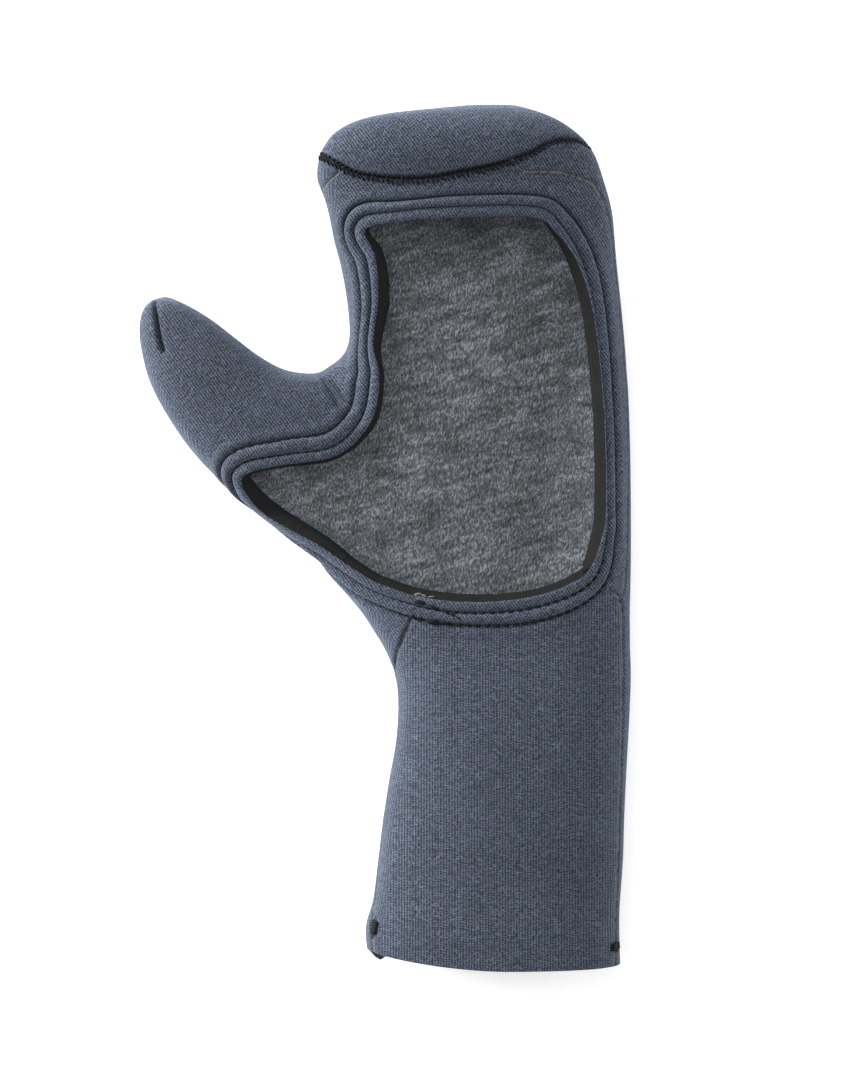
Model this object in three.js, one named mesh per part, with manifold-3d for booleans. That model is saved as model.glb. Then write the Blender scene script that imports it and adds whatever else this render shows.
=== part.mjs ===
import * as THREE from 'three';
import { mergeVertices } from 'three/addons/utils/BufferGeometryUtils.js';
import Module from 'manifold-3d';

const wasm = await Module();
wasm.setup();

// Left-hand open-palm mitten lying on its back: +X to its little-finger side, +Y to the fingertips.
// All sizes are in millimetres.

// Overall sizes
const CUFF_LENGTH = 128;
const CUFF_WIDTH = 92;
const CUFF_DEPTH = 42;
const HAND_LENGTH = 181;
const HAND_WIDTH = 102;
const HAND_DEPTH = 38;
const FINGER_LIFT = 40;
const FINGER_RISE = 15;
const THUMB_SPAN = 76;
const THUMB_HEIGHT = 100;
const THUMB_DEPTH = 32;
const THUMB_TIP_UP = 114;

// Walls, hem, seams and small pieces
const WALL = 3.2;
const LINING = 1.0;
const LINING_MARGIN = 7;
const SEAM_GAP = 0.3;
const HEM_WIDTH = 11;
const HEM_RAISE = 1.0;
const HEM_GROOVE = 1.4;
const GROOVE_FROM_EDGE = 0.42;
const FLOOR_PRESS = 1.6;
const DART_RADIUS = 1.1;
const TIP_CURL = 0.14 * HAND_LENGTH;
const BARTACK_LONG = 4.2;
const BARTACK_SHORT = 2.4;
const TACK_HEIGHT = 0.7;

// How round the sections are: 2 is an ellipse, more is squarer
const BODY_SQUARE = 2.45;
const THUMB_SQUARE = 2.2;

// How many points the curves take
const BODY_SIDES = 30;
const THUMB_SIDES = 18;
const OPENING_POINTS = 54;
const CAP_SEAM_POINTS = 24;
const DART_STEPS = 8;
const DART_SIDES = 4;

// Lines that the tables are measured from
const MID_X = THUMB_SPAN / 2 + 0.5;
const WRIST_Y = (CUFF_LENGTH - HAND_LENGTH) / 2;
const THUMB_FLANK = 0.51;
const FLANK_X = MID_X - HAND_WIDTH * THUMB_FLANK;
const THUMB_TIP_Y = WRIST_Y + THUMB_TIP_UP;
const SIDE_Z = HAND_DEPTH / 2;
const FAR = HAND_LENGTH + CUFF_LENGTH;

// Cuff sections from the mouth to the wrist: place along, left and right edge, depth
const CUFF_SECTIONS = [
  { along: 1.0, left: -0.498, right: 0.505, depth: 1.0 },
  { along: 0.897, left: -0.502, right: 0.502, depth: 0.985 },
  { along: 0.825, left: -0.474, right: 0.505, depth: 0.975 },
  { along: 0.711, left: -0.454, right: 0.517, depth: 0.965 },
  { along: 0.597, left: -0.435, right: 0.522, depth: 0.955 },
  { along: 0.483, left: -0.411, right: 0.529, depth: 0.945 },
  { along: 0.369, left: -0.383, right: 0.538, depth: 0.935 },
  { along: 0.255, left: -0.375, right: 0.546, depth: 0.925 },
  { along: 0.175, left: -0.390, right: 0.549, depth: 0.915 },
  { along: 0.106, left: -0.430, right: 0.546, depth: 0.910 },
  { along: 0.055, left: -0.474, right: 0.546, depth: 0.905 },
];

// Hand sections from the wrist to the fingertips: place along, left and right edge,
// height of the underside as a share of the finger lift, and of the palm above its
// usual depth as a share of the finger rise
const HAND_SECTIONS = [
  { along: 0.0, left: -0.473, right: 0.492, under: 0, over: 0 },
  { along: 0.102, left: -0.617, right: 0.496, under: 0, over: 0 },
  { along: 0.202, left: -0.672, right: 0.496, under: 0, over: 0 },
  { along: 0.312, left: -0.681, right: 0.494, under: 0, over: 0 },
  { along: 0.423, left: -0.652, right: 0.488, under: 0, over: 0 },
  { along: 0.481, left: -0.613, right: 0.481, under: 0, over: 0 },
  { along: 0.506, left: -0.549, right: 0.478, under: 0, over: 0 },
  { along: 0.535, left: -0.517, right: 0.474, under: 0, over: 0.01 },
  { along: 0.577, left: -0.513, right: 0.467, under: 0, over: 0.04 },
  { along: 0.638, left: -0.524, right: 0.455, under: 0.008, over: 0.10 },
  { along: 0.697, left: -0.544, right: 0.443, under: 0.03, over: 0.17 },
  { along: 0.744, left: -0.566, right: 0.435, under: 0.075, over: 0.27 },
  { along: 0.791, left: -0.582, right: 0.426, under: 0.15, over: 0.40 },
  { along: 0.826, left: -0.599, right: 0.411, under: 0.225, over: 0.52 },
  { along: 0.861, left: -0.624, right: 0.389, under: 0.31, over: 0.67 },
  { along: 0.883, left: -0.620, right: 0.374, under: 0.39, over: 0.86 },
  { along: 0.906, left: -0.612, right: 0.355, under: 0.46, over: 0.97 },
  { along: 0.925, left: -0.590, right: 0.330, under: 0.54, over: 1.00 },
  { along: 0.944, left: -0.562, right: 0.294, under: 0.62, over: 0.97 },
  { along: 0.966, left: -0.490, right: 0.237, under: 0.73, over: 0.84 },
  { along: 0.981, left: -0.381, right: 0.180, under: 0.82, over: 0.68 },
  { along: 0.992, left: -0.202, right: 0.121, under: 0.90, over: 0.50 },
  { along: 1.0, left: -0.083, right: 0.074, under: 0.975, over: 0.27 },
];

// Thumb sections fan round the crotch from the tip to the palm. Each has an outer and
// an inner edge: out as a share of the span, down from the tip as a share of the height
const THUMB_SECTIONS = [
  { outerOut: 0.947, outerDown: 0.012, innerOut: 0.875, innerDown: -0.003, depth: 0.20 },
  { outerOut: 0.989, outerDown: 0.051, innerOut: 0.826, innerDown: 0.011, depth: 0.52 },
  { outerOut: 1.004, outerDown: 0.124, innerOut: 0.739, innerDown: 0.044, depth: 0.70 },
  { outerOut: 0.989, outerDown: 0.212, innerOut: 0.643, innerDown: 0.091, depth: 0.80 },
  { outerOut: 0.951, outerDown: 0.314, innerOut: 0.538, innerDown: 0.153, depth: 0.88 },
  { outerOut: 0.874, outerDown: 0.427, innerOut: 0.422, innerDown: 0.219, depth: 0.95 },
  { outerOut: 0.759, outerDown: 0.555, innerOut: 0.297, innerDown: 0.266, depth: 1.02 },
  { outerOut: 0.614, outerDown: 0.672, innerOut: 0.163, innerDown: 0.277, depth: 1.07 },
  { outerOut: 0.442, outerDown: 0.777, innerOut: 0.024, innerDown: 0.299, depth: 1.10 },
  { outerOut: 0.259, outerDown: 0.885, innerOut: -0.120, innerDown: 0.372, depth: 1.10 },
  { outerOut: 0.090, outerDown: 0.990, innerOut: -0.239, innerDown: 0.518, depth: 1.05 },
];

// Edge of the palm opening, clockwise from its top left corner, with the hem's width there
const OPENING = [
  { across: -0.449, along: 0.754, hem: 0.80 },
  { across: -0.347, along: 0.767, hem: 0.64 },
  { across: -0.157, along: 0.775, hem: 0.64 },
  { across: 0.122, along: 0.777, hem: 0.66 },
  { across: 0.203, along: 0.755, hem: 0.72 },
  { across: 0.295, along: 0.688, hem: 0.60 },
  { across: 0.351, along: 0.583, hem: 0.44 },
  { across: 0.386, along: 0.407, hem: 0.30 },
  { across: 0.395, along: 0.214, hem: 0.28 },
  { across: 0.379, along: 0.146, hem: 0.36 },
  { across: 0.313, along: 0.071, hem: 0.66 },
  { across: 0.104, along: 0.027, hem: 0.78 },
  { across: -0.193, along: 0.024, hem: 0.70 },
  { across: -0.421, along: 0.063, hem: 0.62 },
  { across: -0.619, along: 0.135, hem: 0.46 },
  { across: -0.807, along: 0.196, hem: 0.30 },
  { across: -0.882, along: 0.250, hem: 0.50 },
  { across: -0.862, along: 0.276, hem: 0.76 },
  { across: -0.734, along: 0.291, hem: 0.78 },
  { across: -0.551, along: 0.309, hem: 0.94 },
  { across: -0.431, along: 0.375, hem: 1.00 },
  { across: -0.400, along: 0.462, hem: 0.78 },
  { across: -0.421, along: 0.530, hem: 0.50 },
  { across: -0.403, along: 0.619, hem: 0.54 },
  { across: -0.414, along: 0.704, hem: 0.70 },
];

// Seam of the fingertip cap, from the thumb side to the little-finger side
const CAP_SEAM = [
  { across: -0.85, along: 0.955 },
  { across: -0.615, along: 0.904 },
  { across: -0.521, along: 0.873 },
  { across: -0.464, along: 0.859 },
  { across: -0.334, along: 0.850 },
  { across: -0.224, along: 0.851 },
  { across: -0.109, along: 0.862 },
  { across: 0.020, along: 0.876 },
  { across: 0.126, along: 0.897 },
  { across: 0.198, along: 0.919 },
  { across: 0.284, along: 0.926 },
  { across: 0.340, along: 0.916 },
  { across: 0.55, along: 0.872 },
];

// Corners of the palm panel; the cap, cuff and hem trim what reaches past their seams
const PALM_PANEL = [
  { across: -1.6, along: 0.60 },
  { across: -0.75, along: 0.77 },
  { across: -0.597, along: 0.836 },
  { across: -0.549, along: 0.861 },
  { across: -0.50, along: 0.93 },
  { across: 0.078, along: 0.93 },
  { across: 0.080, along: 0.866 },
  { across: 0.228, along: 0.862 },
  { across: 0.325, along: 0.849 },
  { across: 0.362, along: 0.835 },
  { across: 0.411, along: 0.774 },
  { across: 0.436, along: 0.66 },
  { across: 0.470, along: 0.383 },
  { across: 0.472, along: 0.214 },
  { across: 0.458, along: 0.050 },
  { across: 0.448, along: -0.05 },
  { across: 0.10, along: -0.05 },
  { across: 0.10, along: 0.20 },
  { across: -0.70, along: 0.24 },
  { across: -1.6, along: 0.12 },
];

// Corners of the cuff panel: shares of the cuff's width and length
const CUFF_PANEL = [
  { across: -0.251, along: 0.025 },
  { across: -0.30, along: -0.05 },
  { across: 0.30, along: -0.10 },
  { across: 0.404, along: -0.070 },
  { across: 0.438, along: -0.066 },
  { across: 0.474, along: -0.052 },
  { across: 0.490, along: -0.035 },
  { across: 0.496, along: 0.08 },
  { across: 0.496, along: 0.25 },
  { across: 0.466, along: 0.816 },
  { across: 0.464, along: 1.05 },
  { across: -0.455, along: 1.05 },
  { across: -0.445, along: 0.819 },
  { across: -0.372, along: 0.40 },
  { across: -0.362, along: 0.16 },
  { across: -0.366, along: 0.131 },
  { across: -0.360, along: 0.095 },
  { across: -0.341, along: 0.055 },
  { across: -0.326, along: 0.021 },
];

// The fold at the thumb's tip: row of the thumb's table, and angle round that section
const DART = [
  { row: 0, angle: 100 },
  { row: 1, angle: 108 },
  { row: 2, angle: 112 },
  { row: 3, angle: 120 },
];

// Small stitch tacks on the cuff's two side seams
const BARTACKS = [
  { name: 'bartack_left', across: -0.464, along: 0.89, turn: 80 },
  { name: 'bartack_right', across: 0.478, along: 0.945, turn: 8 },
];

const KNIT = { color: 0x5a6474, roughness: 0.95, metalness: 0 };
const PLUSH = { color: 0x6b6c6e, roughness: 1, metalness: 0 };
const THREAD = { color: 0x1c1d20, roughness: 0.8, metalness: 0 };

function handPoint(row) {
  return new THREE.Vector2(MID_X + row.across * HAND_WIDTH, WRIST_Y + row.along * HAND_LENGTH);
}

function cuffPoint(row) {
  return new THREE.Vector2(MID_X + row.across * CUFF_WIDTH, WRIST_Y - row.along * CUFF_LENGTH);
}

// Cross-sections and lofts

function bodySections() {
  const cuff = CUFF_SECTIONS.map((row) => ({
    y: WRIST_Y - row.along * CUFF_LENGTH,
    left: MID_X + row.left * CUFF_WIDTH,
    right: MID_X + row.right * CUFF_WIDTH,
    bottom: 0,
    top: row.depth * CUFF_DEPTH,
  }));
  const hand = HAND_SECTIONS.map((row) => ({
    y: WRIST_Y + row.along * HAND_LENGTH,
    left: MID_X + row.left * HAND_WIDTH,
    right: MID_X + row.right * HAND_WIDTH,
    bottom: row.under * FINGER_LIFT,
    top: HAND_DEPTH + row.over * FINGER_RISE,
  }));
  return cuff.concat(hand);
}

function roundPower(value, square) {
  return Math.sign(value) * Math.abs(value) ** (2 / square);
}

// One ring of the body, drawn in by inset; a negative inset swells it
function bodyRing(section, inset, shiftY) {
  const pressed = section.bottom === 0 ? -FLOOR_PRESS : section.bottom;
  const halfWidth = Math.max((section.right - section.left) / 2 - inset, WALL / 4);
  const middle = (pressed + section.top) / 2;
  const halfDepth = Math.max((section.top - pressed) / 2 - inset, WALL / 4);
  const ring = [];
  for (let i = 0; i < BODY_SIDES; i += 1) {
    const angle = (i / BODY_SIDES) * Math.PI * 2;
    const x = (section.left + section.right) / 2 + halfWidth * roundPower(Math.cos(angle), BODY_SQUARE);
    const z = middle + halfDepth * roundPower(Math.sin(angle), BODY_SQUARE);
    ring.push(new THREE.Vector3(x, section.y + shiftY, Math.max(z, Math.max(inset, 0))));
  }
  return ring;
}

// The body's loft; an inner one runs out through the mouth and stops a wall short of the tip
function bodyRings(inset) {
  const sections = bodySections();
  const mouth = inset > 0 ? -WALL : 0;
  const tip = sections[sections.length - 1].y;
  return sections.map((section, i) => {
    const nearTip = Math.max(0, 1 - (tip - section.y) / TIP_CURL);
    return bodyRing(section, inset, i === 0 ? mouth : -inset * nearTip);
  });
}

function thumbEdges(row) {
  const outer = new THREE.Vector3(
    FLANK_X - row.outerOut * THUMB_SPAN, THUMB_TIP_Y - row.outerDown * THUMB_HEIGHT, SIDE_Z);
  const inner = new THREE.Vector3(
    FLANK_X - row.innerOut * THUMB_SPAN, THUMB_TIP_Y - row.innerDown * THUMB_HEIGHT, SIDE_Z);
  return { outer, inner };
}

function thumbPoint(row, inset, drawn, angle) {
  const { outer, inner } = thumbEdges(row);
  const width = inner.clone().sub(outer);
  const halfWidth = Math.max(width.length() / 2 - inset, WALL / 4);
  const halfDepth = Math.max((row.depth * THUMB_DEPTH) / 2 - inset, WALL / 4);
  width.normalize();
  const back = new THREE.Vector3(width.y, -width.x, 0);
  const point = outer.clone().add(inner).multiplyScalar(0.5);
  point.addScaledVector(back, drawn);
  point.addScaledVector(width, halfWidth * roundPower(Math.cos(angle), THUMB_SQUARE));
  point.z += halfDepth * roundPower(Math.sin(angle), THUMB_SQUARE);
  point.z = Math.max(point.z, Math.max(inset, 0));
  return point;
}

function thumbRings(inset) {
  return THUMB_SECTIONS.map((row, i) => {
    const drawn = inset * Math.max(0, 1 - i / 3);
    const ring = [];
    for (let k = 0; k < THUMB_SIDES; k += 1) {
      ring.push(thumbPoint(row, inset, drawn, (k / THUMB_SIDES) * Math.PI * 2));
    }
    return ring;
  });
}

// Rings of equal count become one closed skin with a fan over each end
function loft(rings) {
  const sides = rings[0].length;
  const points = rings.flat();
  const faces = [];
  for (let r = 0; r + 1 < rings.length; r += 1) {
    for (let i = 0; i < sides; i += 1) {
      const next = (i + 1) % sides;
      const a = r * sides + i;
      const b = r * sides + next;
      faces.push(a, b, b + sides, a, b + sides, a + sides);
    }
  }
  for (const [start, flip] of [[0, true], [(rings.length - 1) * sides, false]]) {
    const centre = new THREE.Vector3();
    points.slice(start, start + sides).forEach((point) => centre.add(point));
    points.push(centre.divideScalar(sides));
    for (let i = 0; i < sides; i += 1) {
      const edge = [start + i, start + ((i + 1) % sides)];
      faces.push(...(flip ? edge.reverse() : edge), points.length - 1);
    }
  }
  const numbers = points.flatMap((point) => point.toArray());
  const geometry = new THREE.BufferGeometry();
  geometry.setAttribute('position', new THREE.Float32BufferAttribute(numbers, 3));
  geometry.setIndex(faces);
  return geometry;
}

// Solids, joins and cuts

function signedVolume(geometry) {
  const at = geometry.attributes.position;
  const index = geometry.index;
  const corners = [new THREE.Vector3(), new THREE.Vector3(), new THREE.Vector3()];
  let volume = 0;
  for (let i = 0; i < index.count; i += 3) {
    corners.forEach((corner, k) => corner.fromBufferAttribute(at, index.getX(i + k)));
    volume += corners[0].dot(corners[1].clone().cross(corners[2])) / 6;
  }
  return volume;
}

function solid(source) {
  const geometry = source.clone();
  geometry.deleteAttribute('normal');
  geometry.deleteAttribute('uv');
  const merged = mergeVertices(geometry, 1e-5);
  const triVerts = Uint32Array.from(merged.index.array);
  if (signedVolume(merged) < 0) {
    for (let i = 0; i < triVerts.length; i += 3) {
      [triVerts[i], triVerts[i + 1]] = [triVerts[i + 1], triVerts[i]];
    }
  }
  const vertProperties = Float32Array.from(merged.attributes.position.array);
  return new wasm.Manifold(new wasm.Mesh({ numProp: 3, vertProperties, triVerts }));
}

function form(inset) {
  return solid(loft(bodyRings(inset))).add(solid(loft(thumbRings(inset))));
}

// A plan outline moved outwards by a distance along its own normals
function offsetOutline(points, distance) {
  const outward = THREE.ShapeUtils.isClockWise(points) ? -1 : 1;
  const moves = Array.isArray(distance) ? distance : points.map(() => distance);
  return points.map((point, i) => {
    const before = points[(i + points.length - 1) % points.length];
    const after = points[(i + 1) % points.length];
    const run = after.clone().sub(before).normalize();
    const normal = new THREE.Vector2(run.y, -run.x).multiplyScalar(outward);
    return point.clone().addScaledVector(normal, moves[i]);
  });
}

// A plan outline stood up as a solid; by default it reaches past the whole mitten
function prism(points, low = -WALL, high = FINGER_LIFT + HAND_DEPTH + FINGER_RISE) {
  const shape = new THREE.Shape(points);
  const geometry = new THREE.ExtrudeGeometry(shape, { depth: high - low, bevelEnabled: false });
  geometry.translate(0, 0, low);
  return solid(geometry);
}

// Everything above the side line that parts the palm's pieces from the back
function abovePart(shift) {
  const line = bodySections().map((section) => {
    return new THREE.Vector2(section.y, (section.bottom + section.top) / 2 + shift);
  });
  const mouth = line[0];
  const tip = line[line.length - 1];
  const outline = new THREE.Shape([
    new THREE.Vector2(-FAR, mouth.y),
    ...line,
    new THREE.Vector2(FAR, tip.y),
    new THREE.Vector2(FAR, FAR),
    new THREE.Vector2(-FAR, FAR),
  ]);
  const geometry = new THREE.ExtrudeGeometry(outline, { depth: 2 * FAR, bevelEnabled: false });
  const alongX = new THREE.Vector3(1, 0, 0);
  const alongY = new THREE.Vector3(0, 1, 0);
  const alongZ = new THREE.Vector3(0, 0, 1);
  geometry.applyMatrix4(new THREE.Matrix4().makeBasis(alongY, alongZ, alongX));
  geometry.translate(-FAR, 0, 0);
  return solid(geometry);
}

// Plan outlines of the opening, the hem and the panels

// The opening's edge is one smooth loop that carries the hem's width as its third number
function openingLoop() {
  const knots = OPENING.map((row) => {
    const { x, y } = handPoint(row);
    return new THREE.Vector3(x, y, row.hem * HEM_WIDTH);
  });
  const curve = new THREE.CatmullRomCurve3(knots, true, 'centripetal');
  return curve.getSpacedPoints(OPENING_POINTS).slice(0, OPENING_POINTS);
}

const loop = openingLoop();
const widths = loop.map((point) => point.z);
const grooveInset = widths.map((width) => width * GROOVE_FROM_EDGE - HEM_GROOVE / 2);
const grooveOutset = widths.map((width) => width * GROOVE_FROM_EDGE + HEM_GROOVE / 2);
const openingEdge = loop.map((point) => new THREE.Vector2(point.x, point.y));
const hemEdge = offsetOutline(openingEdge, widths);
const grooveInner = offsetOutline(openingEdge, grooveInset);
const grooveOuter = offsetOutline(openingEdge, grooveOutset);
const capSeam = new THREE.SplineCurve(CAP_SEAM.map(handPoint)).getPoints(CAP_SEAM_POINTS);
const pastTip = WRIST_Y + HAND_LENGTH + WALL;
const capEdge = [
  ...capSeam,
  new THREE.Vector2(capSeam[CAP_SEAM_POINTS].x, pastTip),
  new THREE.Vector2(capSeam[0].x, pastTip),
];
const palmEdge = PALM_PANEL.map(handPoint);
const cuffEdge = CUFF_PANEL.map(cuffPoint);

// The shells that every piece is cut from
const outer = form(0);
const inner = form(WALL);
const raised = form(-HEM_RAISE);
const shell = outer.subtract(inner);
const half = SEAM_GAP / 2;
const above = abovePart(half);
const aboveWide = abovePart(-half);
const capCut = prism(offsetOutline(capEdge, half));
const cuffCut = prism(offsetOutline(cuffEdge, half));
const palmCut = prism(offsetOutline(palmEdge, half));
const hemCut = prism(offsetOutline(hemEdge, SEAM_GAP));

function dartCutter() {
  const path = DART.map(({ row, angle }) => {
    return thumbPoint(THUMB_SECTIONS[row], 0, 0, THREE.MathUtils.degToRad(angle));
  });
  const section = new THREE.Shape();
  section.absarc(0, 0, DART_RADIUS, 0, Math.PI * 2, false);
  return solid(new THREE.ExtrudeGeometry(section, {
    steps: DART_STEPS,
    curveSegments: DART_SIDES,
    bevelEnabled: false,
    extrudePath: new THREE.CatmullRomCurve3(path),
  }));
}

function makeCap() {
  return shell.intersect(prism(offsetOutline(capEdge, -half)));
}

function makeCuffPanel() {
  return shell.intersect(prism(offsetOutline(cuffEdge, -half))).intersect(above).subtract(hemCut);
}

function makePalmPanel() {
  return shell
    .intersect(prism(offsetOutline(palmEdge, -half)))
    .intersect(above)
    .subtract(capCut)
    .subtract(cuffCut)
    .subtract(hemCut)
    .subtract(dartCutter());
}

function makeBackPanel() {
  const front = palmCut.add(cuffCut).add(hemCut).intersect(aboveWide);
  return shell.subtract(capCut).subtract(front);
}

// Two rounded ridges round the opening with a stitched groove between them
function makeHem() {
  const ring = prism(hemEdge).subtract(prism(openingEdge));
  const groove = prism(grooveOuter).subtract(prism(grooveInner)).subtract(outer);
  return raised.intersect(ring).subtract(inner).subtract(groove).intersect(above);
}

function makeLining() {
  const near = WALL + SEAM_GAP;
  const window = prism(offsetOutline(openingEdge, LINING_MARGIN));
  const sheet = form(near).subtract(form(near + LINING)).intersect(window);
  return sheet.subtract(abovePart(-LINING));
}

function makeBartack({ across, along, turn }) {
  const centre = cuffPoint({ across, along });
  const long = BARTACK_LONG / 2;
  const short = BARTACK_SHORT / 2;
  const angle = THREE.MathUtils.degToRad(turn);
  const corners = [[-long, -short], [long, -short], [long, short], [-long, short]].map(([x, y]) => {
    return new THREE.Vector2(x, y).rotateAround(new THREE.Vector2(), angle).add(centre);
  });
  const seamZ = CUFF_DEPTH * TACK_HEIGHT;
  return prism(corners, seamZ - long, seamZ + long).intersect(raised).subtract(form(-SEAM_GAP));
}

// The finished pieces

function piece(name, body, look) {
  const mesh = body.getMesh();
  const places = Float32Array.from(mesh.vertProperties);
  const corners = Uint32Array.from(mesh.triVerts);
  const geometry = new THREE.BufferGeometry();
  geometry.setAttribute('position', new THREE.BufferAttribute(places, 3));
  geometry.setIndex(new THREE.BufferAttribute(corners, 1));
  geometry.computeVertexNormals();
  const node = new THREE.Mesh(geometry, new THREE.MeshStandardMaterial(look));
  node.name = name;
  return node;
}

const mitten = new THREE.Group();
mitten.add(
  piece('back_panel', makeBackPanel(), KNIT),
  piece('fingertip_cap', makeCap(), KNIT),
  piece('palm_panel', makePalmPanel(), KNIT),
  piece('cuff_panel', makeCuffPanel(), KNIT),
  piece('opening_hem', makeHem(), KNIT),
  piece('back_lining', makeLining(), PLUSH),
  ...BARTACKS.map((tack) => piece(tack.name, makeBartack(tack), THREAD)),
);

// The origin is at the bottom centre of the whole
const bounds = new THREE.Box3().setFromObject(mitten);
const centre = bounds.getCenter(new THREE.Vector3());
mitten.position.set(-centre.x, -centre.y, -bounds.min.z);
mitten.updateMatrixWorld(true);

export default mitten;
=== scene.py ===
import math
import random

import bmesh
import bpy
import numpy as np
from mathutils import Matrix, Vector
from mathutils.bvhtree import BVHTree
from mathutils.kdtree import KDTree


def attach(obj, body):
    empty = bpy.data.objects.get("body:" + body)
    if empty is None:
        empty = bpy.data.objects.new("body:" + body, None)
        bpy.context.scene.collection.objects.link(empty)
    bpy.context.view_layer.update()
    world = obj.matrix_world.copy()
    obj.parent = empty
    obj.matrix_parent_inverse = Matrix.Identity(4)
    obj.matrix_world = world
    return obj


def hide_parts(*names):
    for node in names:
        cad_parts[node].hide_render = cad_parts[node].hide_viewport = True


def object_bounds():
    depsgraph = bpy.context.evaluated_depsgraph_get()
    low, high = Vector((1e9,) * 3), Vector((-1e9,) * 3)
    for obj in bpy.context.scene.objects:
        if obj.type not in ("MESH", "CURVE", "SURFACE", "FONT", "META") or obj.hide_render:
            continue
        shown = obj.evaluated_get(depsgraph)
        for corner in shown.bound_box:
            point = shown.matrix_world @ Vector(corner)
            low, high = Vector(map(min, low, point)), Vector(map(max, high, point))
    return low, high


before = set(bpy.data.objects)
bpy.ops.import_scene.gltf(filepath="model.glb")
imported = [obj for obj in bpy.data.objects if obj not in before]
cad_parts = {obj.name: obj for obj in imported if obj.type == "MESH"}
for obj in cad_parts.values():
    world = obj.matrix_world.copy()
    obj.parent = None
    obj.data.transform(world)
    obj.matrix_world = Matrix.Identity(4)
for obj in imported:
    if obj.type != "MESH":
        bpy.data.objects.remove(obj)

bl_info = {
    "name": "Open-palm neoprene mitten",
    "version": (1, 0, 0),
    "blender": (4, 5, 0),
    "location": "View3D > Sidebar > Mitten",
    "description": "Builds the knit skin, hem, lining, seams and threads of an open-palm neoprene mitten",
    "category": "Object",
}

MM = 0.001
FRAME_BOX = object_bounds()

# From the box's far side to the hand's middle line, as a share of the hand's width
MID_SHARE = 0.496

# Panels of the skin, and what is cut away for the opening
BACK, CAP, PALM, CUFF, CUT_AWAY = range(5)

# The hem: how many places round it, the step of its paths, its greatest width on the surface,
# how many rows of mesh cover its inner roll, its outer roll and the shoulder past it, how many
# belong to the cut edge, where on the shoulder the skin starts, how far the cut edge wanders,
# and which rows lie in its two grooves
HEM_COUNT = 1300
HEM_PITCH = 0.4 * MM
HEM_MOST = 9.0 * MM
INNER_STEPS = 11
OUTER_STEPS = 12
SHOULDER_STEPS = 12
EDGE_ROWS = 4
SKIN_START = 0.33
WANDER = 0.7 * MM
INNER_ROW = INNER_STEPS
OUTER_ROW = INNER_STEPS + OUTER_STEPS

# The knit: width of a wale, height of a course as drawn, and the turn in degrees of the hand's
# knit from the cuff's
WALE = 1.0 * MM
COURSE = 0.9 * MM
KNIT_SLANT = -36

# Lamps: name, place and size in metres, power in watts
LAMPS = (
    ("key", (-1.68, 0.83, 0.32), 0.96, 92.0),
    ("fill", (1.10, 0.10, 0.40), 0.9, 6.0),
    ("top", (-0.25, 0.35, 1.5), 1.2, 12.0),
)

# The camera's place in metres, how many pixels high its picture is, and what a pixel shows
# at the mitten's mid height
EYE = (0.01697, -0.00073, 0.95)
PICTURE_ROWS = 1080
PIXEL = 0.365 * MM

# Cuff sections from the mouth to the wrist: place along, left and right edge, depth
CUFF_SECTIONS = (
    (1.0, -0.498, 0.505, 1.0),
    (0.897, -0.502, 0.502, 0.985),
    (0.825, -0.474, 0.505, 0.975),
    (0.711, -0.454, 0.517, 0.965),
    (0.597, -0.435, 0.522, 0.955),
    (0.483, -0.411, 0.529, 0.945),
    (0.369, -0.383, 0.538, 0.935),
    (0.255, -0.375, 0.546, 0.925),
    (0.175, -0.390, 0.549, 0.915),
    (0.106, -0.430, 0.546, 0.910),
    (0.055, -0.474, 0.546, 0.905),
)

# Hand sections from the wrist to the fingertips: place along, left and right edge,
# underside as a share of the finger lift, palm as a share of the finger rise
HAND_SECTIONS = (
    (0.0, -0.473, 0.492, 0, 0),
    (0.102, -0.617, 0.496, 0, 0),
    (0.202, -0.672, 0.496, 0, 0),
    (0.312, -0.681, 0.494, 0, 0),
    (0.423, -0.652, 0.488, 0, 0),
    (0.481, -0.613, 0.481, 0, 0),
    (0.506, -0.549, 0.478, 0, 0),
    (0.535, -0.517, 0.474, 0, 0.01),
    (0.577, -0.513, 0.467, 0, 0.04),
    (0.638, -0.524, 0.455, 0.008, 0.10),
    (0.697, -0.544, 0.443, 0.03, 0.17),
    (0.744, -0.566, 0.435, 0.075, 0.27),
    (0.791, -0.582, 0.426, 0.15, 0.40),
    (0.826, -0.599, 0.411, 0.225, 0.52),
    (0.861, -0.624, 0.389, 0.31, 0.67),
    (0.883, -0.620, 0.374, 0.39, 0.86),
    (0.906, -0.612, 0.355, 0.46, 0.97),
    (0.925, -0.590, 0.330, 0.54, 1.00),
    (0.944, -0.562, 0.294, 0.62, 0.97),
    (0.966, -0.490, 0.237, 0.73, 0.84),
    (0.981, -0.381, 0.180, 0.82, 0.68),
    (0.992, -0.202, 0.121, 0.90, 0.50),
    (1.0, -0.083, 0.074, 0.975, 0.27),
)

# Thumb sections fan round the crotch from the tip: outer edge out and down, inner edge
# out and down, as shares of the thumb's span and height, and the depth
THUMB_SECTIONS = (
    (0.947, 0.012, 0.875, -0.003, 0.20),
    (0.989, 0.051, 0.826, 0.011, 0.52),
    (1.004, 0.124, 0.739, 0.044, 0.70),
    (0.989, 0.212, 0.643, 0.091, 0.80),
    (0.951, 0.314, 0.538, 0.153, 0.88),
    (0.874, 0.427, 0.422, 0.219, 0.95),
    (0.759, 0.555, 0.297, 0.266, 1.02),
    (0.614, 0.672, 0.163, 0.277, 1.07),
    (0.442, 0.777, 0.024, 0.299, 1.10),
    (0.259, 0.885, -0.120, 0.372, 1.10),
    (0.090, 0.990, -0.239, 0.518, 1.05),
)

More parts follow.
